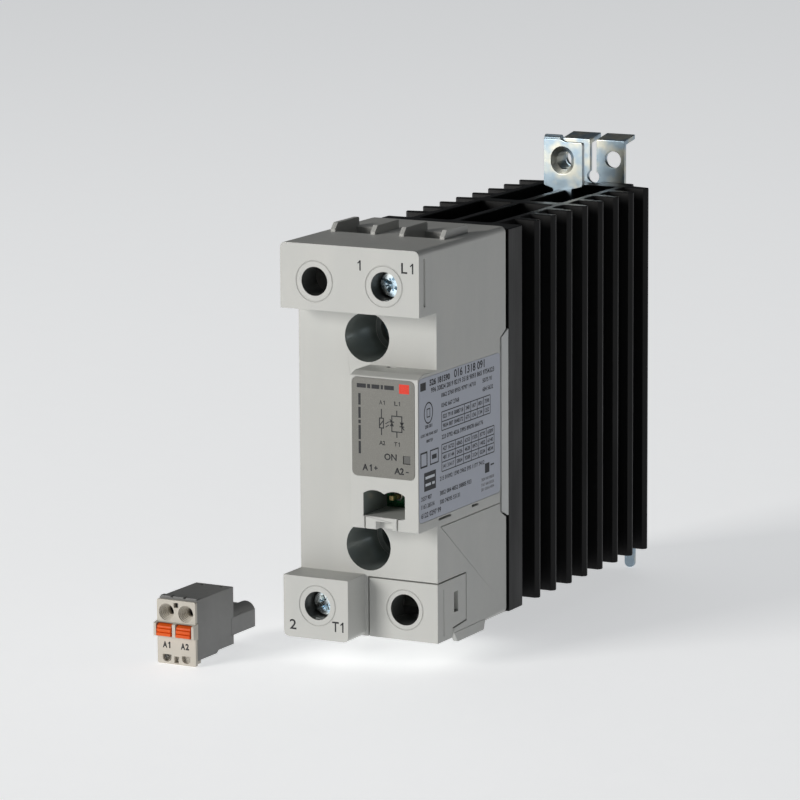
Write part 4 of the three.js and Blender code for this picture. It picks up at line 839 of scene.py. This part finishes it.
# ---------------------------------------------------------------- labels
@dataclass
class FrontLabel:
    """The silver label: plain bars, the connection diagram and the control pole marks."""

    finishes: Finishes
    wide: float = 15.3

    def build(self) -> None:
        """Builds and dresses the label and its print."""
        piece = node_copy("front_label", "front_label_film")
        smooth(piece, 30)
        dress(piece, self.finishes.silver_film)
        place(piece, "relay", ["front_label"])
        self._print()

    def _print(self) -> None:
        """Prints the diagram, the bars and the pole marks."""
        low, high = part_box("front_label")
        left = high.x - self.wide * MM
        ink = Print(Facing.FRONT, left, high.z, -low.y)
        bars = ((0.9, 3.2), (3.5, 4.3), (4.6, 6.6), (6.9, 7.5), (7.8, 10.2))
        for start, end in bars:
            ink.stroke((start, 1.85), (end, 1.85), 0.95)
        for start, end in ((3.6, 6.2), (6.7, 9.2), (9.6, 10.4), (10.8, 14.0), (14.4, 17.2)):
            ink.stroke((1.55, start), (1.55, end), 0.6)
        for letter, start, top in (("A", 6.5, 4.8), ("L", 10.3, 4.8), ("T", 10.2, 13.9)):
            ink.letters(letter, start, top, start + 0.8, top + 0.95, 0.012)
            ink.one(start + 1.4, top, top + 0.95, 0.17)
        ink.letters("A2", 6.45, 13.9, 7.95, 14.85, 0.02)
        ink.letters("ON", 7.7, 16.65, 10.8, 18.15, 0.022)
        ink.letters("A", 2.2, 19.45, 3.6, 20.95, 0.03)
        ink.one(4.55, 19.45, 20.95, 0.32)
        ink.letters("+", 5.1, 19.75, 6.0, 20.65, 0.03)
        ink.letters("A2", 10.2, 19.65, 12.6, 21.15, 0.03)
        ink.stroke((13.1, 20.5), (13.8, 20.5), 0.26)
        self._diagram(ink)
        ink.finish("front_label_print", self.finishes.dark_ink, "black_plastic")
        mark = Print(Facing.FRONT, left, high.z, -low.y)
        mark.stroke((11.5, 1.9), (14.0, 1.9), 2.1)
        mark.finish("front_label_mark", self.finishes.red_ink, "orange")

    @staticmethod
    def _diagram(ink: Print) -> None:
        """Draws the control input, its light and the two valves of the output."""
        line = 0.24
        coil, left, middle, right = 7.05, 9.65, 10.9, 12.15
        ink.stroke((coil, 6.7), (coil, 8.8), line)
        ink.frame(coil - 0.5, 8.8, coil + 0.5, 11.0, line)
        ink.stroke((coil - 0.4, 10.4), (coil + 0.4, 9.4), line)
        ink.stroke((coil, 11.0), (coil, 12.6), line)
        for drop in (0.0, 0.75):
            ink.stroke((8.05, 10.0 + drop), (8.95, 9.45 + drop), line * 0.8)
        ink.stroke((middle, 6.8), (middle, 8.1), line)
        ink.frame(left, 8.1, right, 11.6, line)
        ink.stroke((middle, 11.6), (middle, 12.9), line)
        ink.arrow(left, 10.1, 0.62, True)
        ink.arrow(right, 9.7, 0.62, False)
        ink.stroke((left - 0.6, 9.45), (left + 0.6, 9.45), line)
        ink.stroke((right - 0.6, 10.35), (right + 0.6, 10.35), line)
        ink.stroke((left, 9.4), (left - 0.5, 8.9), line)
        ink.stroke((right, 10.4), (right + 0.6, 11.1), line)


@dataclass
class SideLabel:
    """The white side label: rows of plain figures and bars, two tables and plain marks."""

    finishes: Finishes
    seed: int = 7
    under: float = 0.035

    def build(self) -> None:
        """Builds and dresses the label and its print."""
        self.draw = random.Random(self.seed)
        piece = node_copy("side_label", "side_label_film")
        with Editing(piece) as mesh:
            _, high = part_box("side_label")
            for vert in mesh.verts:
                vert.co.x = min(vert.co.x, high.x - self.under * MM)
            bmesh.update_edit_mesh(piece.data)
        smooth(piece, 30)
        dress(piece, self.finishes.white_film)
        place(piece, "relay", ["side_label"])
        self._print()

    def _row(self, ink: Print, left: float, right: float, middle: float, tall: float,
             weight: float = 0.02) -> None:
        """A row of figures between two edges."""
        count = max(2, round((right - left) / (tall * 0.66)))
        figures = "".join(self.draw.choice("0123456789") for _ in range(count))
        spaced = list(figures)
        for k in range(4, count - 2, 5):
            spaced[k + self.draw.choice((0, 1)) - 1] = " "
        ink.letters("".join(spaced), left, middle - tall / 2, right, middle + tall / 2, weight)

    def _print(self) -> None:
        """Prints the rows, the tables and the marks."""
        low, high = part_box("side_label")
        surface = high.x - self.under * MM
        ink = Print(Facing.SIDE, low.y, high.z, surface)
        self._row(ink, 5.2, 15.0, 1.5, 1.5, 0.04)
        self._row(ink, 17.0, 32.0, 1.3, 1.9)
        for left, right, middle, tall in (
                (5.9, 36.8, 3.3, 1.15), (10.8, 27.6, 5.2, 1.0), (31.0, 35.6, 5.2, 1.0),
                (10.8, 19.4, 7.5, 1.0), (31.0, 36.2, 7.2, 1.0), (10.9, 31.2, 14.7, 1.0),
                (9.9, 31.8, 24.0, 1.0), (9.9, 25.3, 27.3, 1.0), (9.9, 19.6, 29.3, 1.0),
                (1.0, 6.0, 27.1, 1.0), (1.0, 7.3, 28.9, 1.0), (1.0, 10.4, 30.9, 1.2),
                (2.9, 6.4, 11.1, 0.8), (0.9, 9.0, 12.9, 0.7), (3.6, 6.6, 14.4, 0.7)):
            self._row(ink, left, right, middle, tall)
        self._table(ink, 10.9, 34.8, (9.0, 11.2, 13.2), (10.9, 22.0, 25.1, 28.3, 31.4, 34.8))
        self._table(ink, 10.9, 36.7, (16.4, 18.4, 20.4, 22.5), (10.9, 17.5, 21.5, 25.3, 29.0, 32.8, 36.7))
        ink.stroke((0.8, 1.9), (3.4, 1.9), 1.8)
        ink.ring(4.6, 8.1, 2.0, 0.32)
        ink.frame(3.9, 7.2, 5.3, 9.0, 0.25)
        ink.frame(0.9, 16.8, 3.8, 19.9, 0.4)
        ink.frame(5.4, 16.8, 9.2, 19.9, 0.3)
        ink.stroke((6.2, 18.35), (8.4, 18.35), 1.0)
        ink.stroke((2.4, 23.5), (8.0, 23.5), 4.2)
        ink.stroke((32.1, 25.6), (34.3, 25.6), 2.2)
        ink.stroke((34.9, 25.2), (36.6, 25.2), 0.35)
        ink.finish("side_label_print", self.finishes.dark_ink, "black_plastic")
        pale = Print(Facing.SIDE, low.y, high.z, surface)
        for middle in (28.0, 29.2, 30.3):
            self._row(pale, 30.2, 36.6, middle, 0.7)
        pale.finish("side_label_pale_print", self.finishes.grey_ink, "black_plastic")
        light = Print(Facing.SIDE, low.y, high.z, surface + 0.013 * MM)
        for start, end, middle in ((3.0, 7.4, 22.6), (3.0, 5.6, 24.2), (6.2, 7.4, 24.2)):
            light.stroke((start, middle), (end, middle), 0.6)
        light.finish("side_label_light_print", self.finishes.white_ink, "label_white")

    def _table(self, ink: Print, left: float, right: float, rows: Sequence[float],
               columns: Sequence[float]) -> None:
        """Draws a table's lines and its figures."""
        line = 0.22
        for row in rows:
            ink.stroke((left, row), (right, row), line)
        for column in columns:
            ink.stroke((column, rows[0]), (column, rows[-1]), line)
        for top, foot in zip(rows, rows[1:]):
            for start, end in zip(columns, columns[1:]):
                self._row(ink, start + 0.6, end - 0.6, (top + foot) / 2, 0.95)


# ---------------------------------------------------------------- metalwork
@dataclass
class HeatSink:
    """The finned extrusion with its cut ends eased."""

    finishes: Finishes
    end_edge: float = 0.18

    def build(self) -> None:
        """Builds and dresses the heat sink."""
        piece = node_copy("heat_sink", "heat_sink_extrusion")
        low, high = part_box("heat_sink")
        near = 0.01 * MM

        def on_an_end(edge: bmesh.types.BMEdge) -> bool:
            """Tells if an edge lies in one of the sawn ends."""
            heights = [v.co.z for v in edge.verts]
            return min(heights) > high.z - near or max(heights) < low.z + near

        round_edges(piece, self.end_edge, 1, 30, on_an_end)
        smooth(piece, 40)
        dress(piece, self.finishes.anodised)
        place(piece, "relay", ["heat_sink"])


@dataclass
class Screw:
    """A plated screw along Y with a slotted cross recess in its head."""

    name: str
    node: str
    body: str
    turn: float = 20.0
    rim: float = 0.35
    slot_wide: float = 0.75
    cross_wide: float = 0.95
    cross_share: float = 0.62
    deep: float = 1.3
    head_tall: float = 2.6
    shank: float = 2.0
    pitch: float = 0.7
    root: float = 0.86

    def build(self, material: bpy.types.Material) -> None:
        """Builds the screw in its CAD node's place and dresses it."""
        low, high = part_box(self.node)
        middle = (low + high) / 2
        radius = (high.x - low.x) / 2
        head_back = low.y + self.head_tall * MM
        head = rod(self.name, (middle.x, low.y, middle.z), (middle.x, head_back, middle.z), radius, 48)
        round_edges(head, self.rim, 3, 60)
        deep = low.y + self.deep * MM
        tools = []
        for angle, wide, share, depth in ((0, self.slot_wide, 1.1, 0.7 * self.deep),
                                          (0, self.cross_wide, self.cross_share, self.deep),
                                          (90, self.cross_wide, self.cross_share, self.deep),
                                          (45, 0.4, 0.5, 0.6 * self.deep),
                                          (135, 0.4, 0.5, 0.6 * self.deep)):
            half, reach = wide * MM / 2, radius * share
            tool = block("recess", (-reach, low.y - MM, -half), (reach, low.y + depth * MM, half))
            tool.rotation_euler = (0, math.radians(angle + self.turn), 0)
            tool.location = (middle.x, 0, middle.z)
            apply_place(tool)
            tools.append(tool)
        carve(head, tools)
        shank = rod("shank", (middle.x, deep + 0.4 * MM, middle.z), (middle.x, high.y, middle.z),
                    self.shank * MM, 24)
        self._thread(shank, high.y, head_back)
        piece = join(self.name, [head, shank])
        smooth(piece, 35)
        dress(piece, material)
        place(piece, self.body, [self.node])

    def _thread(self, shank: bpy.types.Object, end: float, start: float) -> None:
        """Cuts shallow thread grooves round the shank's free length."""
        with Editing(shank):
            count = max(2, int((end - start) / (self.pitch * MM)))
            for k in range(1, 2 * count):
                at = start + k * (end - start) / (2 * count)
                bpy.ops.mesh.select_all(action="SELECT")
                bpy.ops.mesh.bisect(plane_co=(0, at, 0), plane_no=(0, 1, 0))
        with Editing(shank) as mesh:
            step = (end - start) / (2 * count)
            middle = sum((v.co for v in mesh.verts), Vector()) / len(mesh.verts)
            for vert in mesh.verts:
                k = round((vert.co.y - start) / step)
                if 0 < k < 2 * count and k % 2 and abs(vert.co.y - start - k * step) < 0.01 * MM:
                    vert.co.x = middle.x + (vert.co.x - middle.x) * self.root
                    vert.co.z = middle.z + (vert.co.z - middle.z) * self.root
            bmesh.update_edit_mesh(shank.data)


@dataclass
class Fastenings:
    """Terminal screws, cages and busbars, and the two screws that hold the relay to its sink."""

    finishes: Finishes
    edge: float = 0.12

    def build(self) -> None:
        """Builds and dresses the fastenings."""
        metal = self.finishes.zinc_screw
        Screw("clamp_screw_L1", "terminal_screw_L1", "screw_L1", 28).build(metal)
        Screw("clamp_screw_T1", "terminal_screw_T1", "screw_T1", -24).build(metal)
        for end, turn in (("upper", 12), ("lower", 65)):
            Screw(f"sink_screw_{end}", f"fixing_screw_{end}", "relay", turn, head_tall=2.8).build(metal)
            dress_node(f"fixing_washer_{end}", self.finishes.zinc)
        for pole in ("L1", "T1"):
            for node, name, body, material, slot in (
                    (f"clamp_cage_{pole}", f"cage_{pole}_box", f"cage_{pole}", self.finishes.zinc, "zinc"),
                    (f"busbar_{pole}", f"busbar_{pole}_strip", "relay", self.finishes.tin, "tin")):
                rounded_copy(node, name, body, material, self.edge)


@dataclass
class RailClip:
    """The sprung latch plate, the fixed bracket, their small parts and the screwdriver rest."""

    finishes: Finishes
    edge: float = 0.16

    def build(self) -> None:
        """Builds and dresses the clip."""
        for node, name, body in (("latch_plate", "latch_sheet", "latch"),
                                 ("rail_bracket", "bracket_sheet", "relay"),
                                 ("screwdriver_tab", "screwdriver_rest", "relay"),
                                 ("spring_stop", "spring_stop_pin", "relay"),
                                 ("bracket_screw_upper", "clip_screw_upper", "relay"),
                                 ("bracket_screw_lower", "clip_screw_lower", "relay")):
            rounded_copy(node, name, body, self.finishes.zinc, self.edge)
        dress_node("latch_spring", self.finishes.spring_steel)


# ---------------------------------------------------------------- electronics
@dataclass
class Electronics:
    """The control board with its parts, and the power stack on the heat sink."""

    finishes: Finishes
    ring_outer: float = 1.15
    ring_inner: float = 0.85
    ring_proud: float = 0.25

    def build(self) -> None:
        """Dresses the inner nodes and adds the pad rings."""
        made = self.finishes
        for node, material in (
                ("control_board", made.board), ("pin_header", made.black_plastic),
                ("control_pin_A1", made.gold), ("control_pin_A2", made.gold),
                ("status_led", made.lens), ("light_pipe", made.clear_plastic),
                ("optocoupler", made.black_plastic), ("surge_varistor", made.blue_lacquer),
                ("snubber_capacitor", made.blue_lacquer), ("gate_resistor", made.blue_lacquer),
                ("gate_lead_1", made.copper), ("gate_lead_2", made.copper),
                ("thermal_pad", made.grease), ("base_plate", made.copper),
                ("power_substrate", made.ceramic), ("thyristor_die_1", made.silicon),
                ("thyristor_die_2", made.silicon)):
            dress_node(node, material)
        for pole in ("A1", "A2"):
            self._pad_ring(pole)

    def _pad_ring(self, pole: str) -> None:
        """Adds the tinned ring round a control pin, on the board's front."""
        low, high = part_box(f"control_pin_{pole}")
        board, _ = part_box("control_board")
        middle = (low + high) / 2
        front = board.y - self.ring_proud * MM
        ring = rod(f"pad_ring_{pole}", (middle.x, front, middle.z), (middle.x, board.y, middle.z),
                   self.ring_outer * MM)
        round_edges(ring, self.ring_proud * 0.4, 2, 60)
        carve(ring, [rod("bore", (middle.x, front - MM, middle.z), (middle.x, board.y + MM, middle.z),
                         self.ring_inner * MM)])
        smooth(ring, 35)
        dress(ring, self.finishes.tin)
        place(ring, "relay")


# ---------------------------------------------------------------- plug
@dataclass
class ControlPlug:
    """The loose control plug: body, front plate, two pushers and its contacts."""

    finishes: Finishes
    edge: float = 0.08
    boss: float = 1.2
    mark_top: float = 5.2
    mark_lefts: tuple[float, float] = (-3.6, 1.15)

    def build(self) -> None:
        """Builds and dresses the plug."""
        made = self.finishes
        for node, name, body, material, slot in (
                ("plug_body", "plug_moulding", "plug", made.plug_grey, "plug_grey"),
                ("plug_front", "plug_plate", "plug", made.beige, "plug_beige"),
                ("pusher_A1", "release_A1", "pusher_A1", made.orange, "orange"),
                ("pusher_A2", "release_A2", "pusher_A2", made.orange, "orange")):
            rounded_copy(node, name, body, material, self.edge)
        self._pole_marks()
        for pole in ("A1", "A2"):
            dress_node(f"plug_contact_{pole}", made.tin)
            dress_node(f"clamp_spring_{pole}", made.spring_steel)

    def _pole_marks(self) -> None:
        """Prints the pole marks on the front plate, which is turned a little about Z."""
        joints = frame["record"]["behaviour"]["joints"]
        axis = next(j["axis"] for j in joints if j["name"] == "pusher_travel_A1")
        yaw = math.atan2(-axis[0], axis[1])
        low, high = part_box("plug_front")
        spread = (high.x - low.x) / 2
        middle = (low.x + high.x) / 2
        face = low.y + self.boss * MM * math.cos(yaw) + spread * math.sin(abs(yaw))
        ink = Print(Facing.FRONT, 0, self.mark_top * MM, 0)
        for left in self.mark_lefts:
            ink.letters("A", left, 0, left + 1.15, 1.5, 0.045)
        ink.one(self.mark_lefts[0] + 2.0, 0, 1.5, 0.36)
        ink.letters("2", self.mark_lefts[1] + 1.25, 0, self.mark_lefts[1] + 2.15, 1.5, 0.045)
        piece = ink.finish("plug_pole_marks", self.finishes.dark_ink, "black_plastic", "plug")
        piece.rotation_euler = (0, 0, yaw)
        piece.location = (middle, face, low.z)
        apply_place(piece)


# ---------------------------------------------------------------- studio
@dataclass
class Studio:
    """A pale floor, soft lights and the camera."""

    finishes: Finishes
    eye: Colour = (0.47745, -1.00083, 0.19529)
    aim: Colour = (-0.01935, -0.0679, -0.00061)
    roll: float = -0.35
    lens: float = 205.19
    floor_size: float = 6.0
    floor_drop: float = 0.0001
    world_strength: float = 0.05

    def build(self) -> None:
        """Builds the studio."""
        self._floor()
        self._lights()
        self._camera()

    def _floor(self) -> None:
        """A wide floor under the lowest point of the object."""
        low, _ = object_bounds()
        bpy.ops.object.select_all(action="DESELECT")
        bpy.ops.mesh.primitive_plane_add(size=self.floor_size, location=(0, 0, low[2] - self.floor_drop))
        floor = bpy.context.active_object
        floor.name = "floor"
        apply_place(floor)
        dress(floor, self.finishes.floor)
        floor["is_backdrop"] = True

    def _lights(self) -> None:
        """A large key light over the left shoulder, a weak top light and a pale world."""
        world = bpy.data.worlds.new("studio")
        world.use_nodes = True
        world.node_tree.nodes["Background"].inputs[0].default_value = (0.88, 0.94, 1.0, 1)
        world.node_tree.nodes["Background"].inputs[1].default_value = self.world_strength
        bpy.context.scene.world = world
        for name, energy, size, at, colour in (
                ("key", 20.0, 0.7, (-0.85, -1.6, 0.5), (1.0, 0.985, 0.955)),
                ("top", 1.5, 0.9, (-0.3, 0.3, 1.2), (1.0, 1.0, 1.0))):
            light = bpy.data.lights.new(name, "AREA")
            light.energy = energy
            light.size = size
            light.color = colour
            lamp = bpy.data.objects.new(name, light)
            lamp.location = at
            aim = Vector((0, -0.07, 0)) - Vector(at)
            lamp.rotation_euler = aim.to_track_quat("-Z", "Y").to_euler()
            bpy.context.scene.collection.objects.link(lamp)

    def _camera(self) -> None:
        """The camera at its eye point, turned to its aim."""
        data = bpy.data.cameras.new("camera")
        data.lens = self.lens
        data.sensor_width = 36
        data.clip_end = 20
        camera = bpy.data.objects.new("camera", data)
        look = (Vector(self.aim) - Vector(self.eye)).to_track_quat("-Z", "Y").to_matrix().to_4x4()
        turn = Matrix.Rotation(math.radians(self.roll), 4, "Z")
        camera.matrix_world = Matrix.Translation(self.eye) @ look @ turn
        bpy.context.scene.collection.objects.link(camera)
        bpy.context.scene.camera = camera
        bpy.context.scene.view_settings.view_transform = "Standard"


def main() -> None:
    """Builds every sub-assembly in order."""
    logging.basicConfig(level=logging.INFO, format="%(name)s: %(message)s")
    finishes = Finishes()
    for assembly in (Casework(finishes), FrontLabel(finishes), SideLabel(finishes), HeatSink(finishes),
                     Fastenings(finishes), RailClip(finishes), Electronics(finishes),
                     ControlPlug(finishes), Studio(finishes)):
        assembly.build()
        log.info("%s done", type(assembly).__name__)


if __name__ == "__main__":
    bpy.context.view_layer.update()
    main()
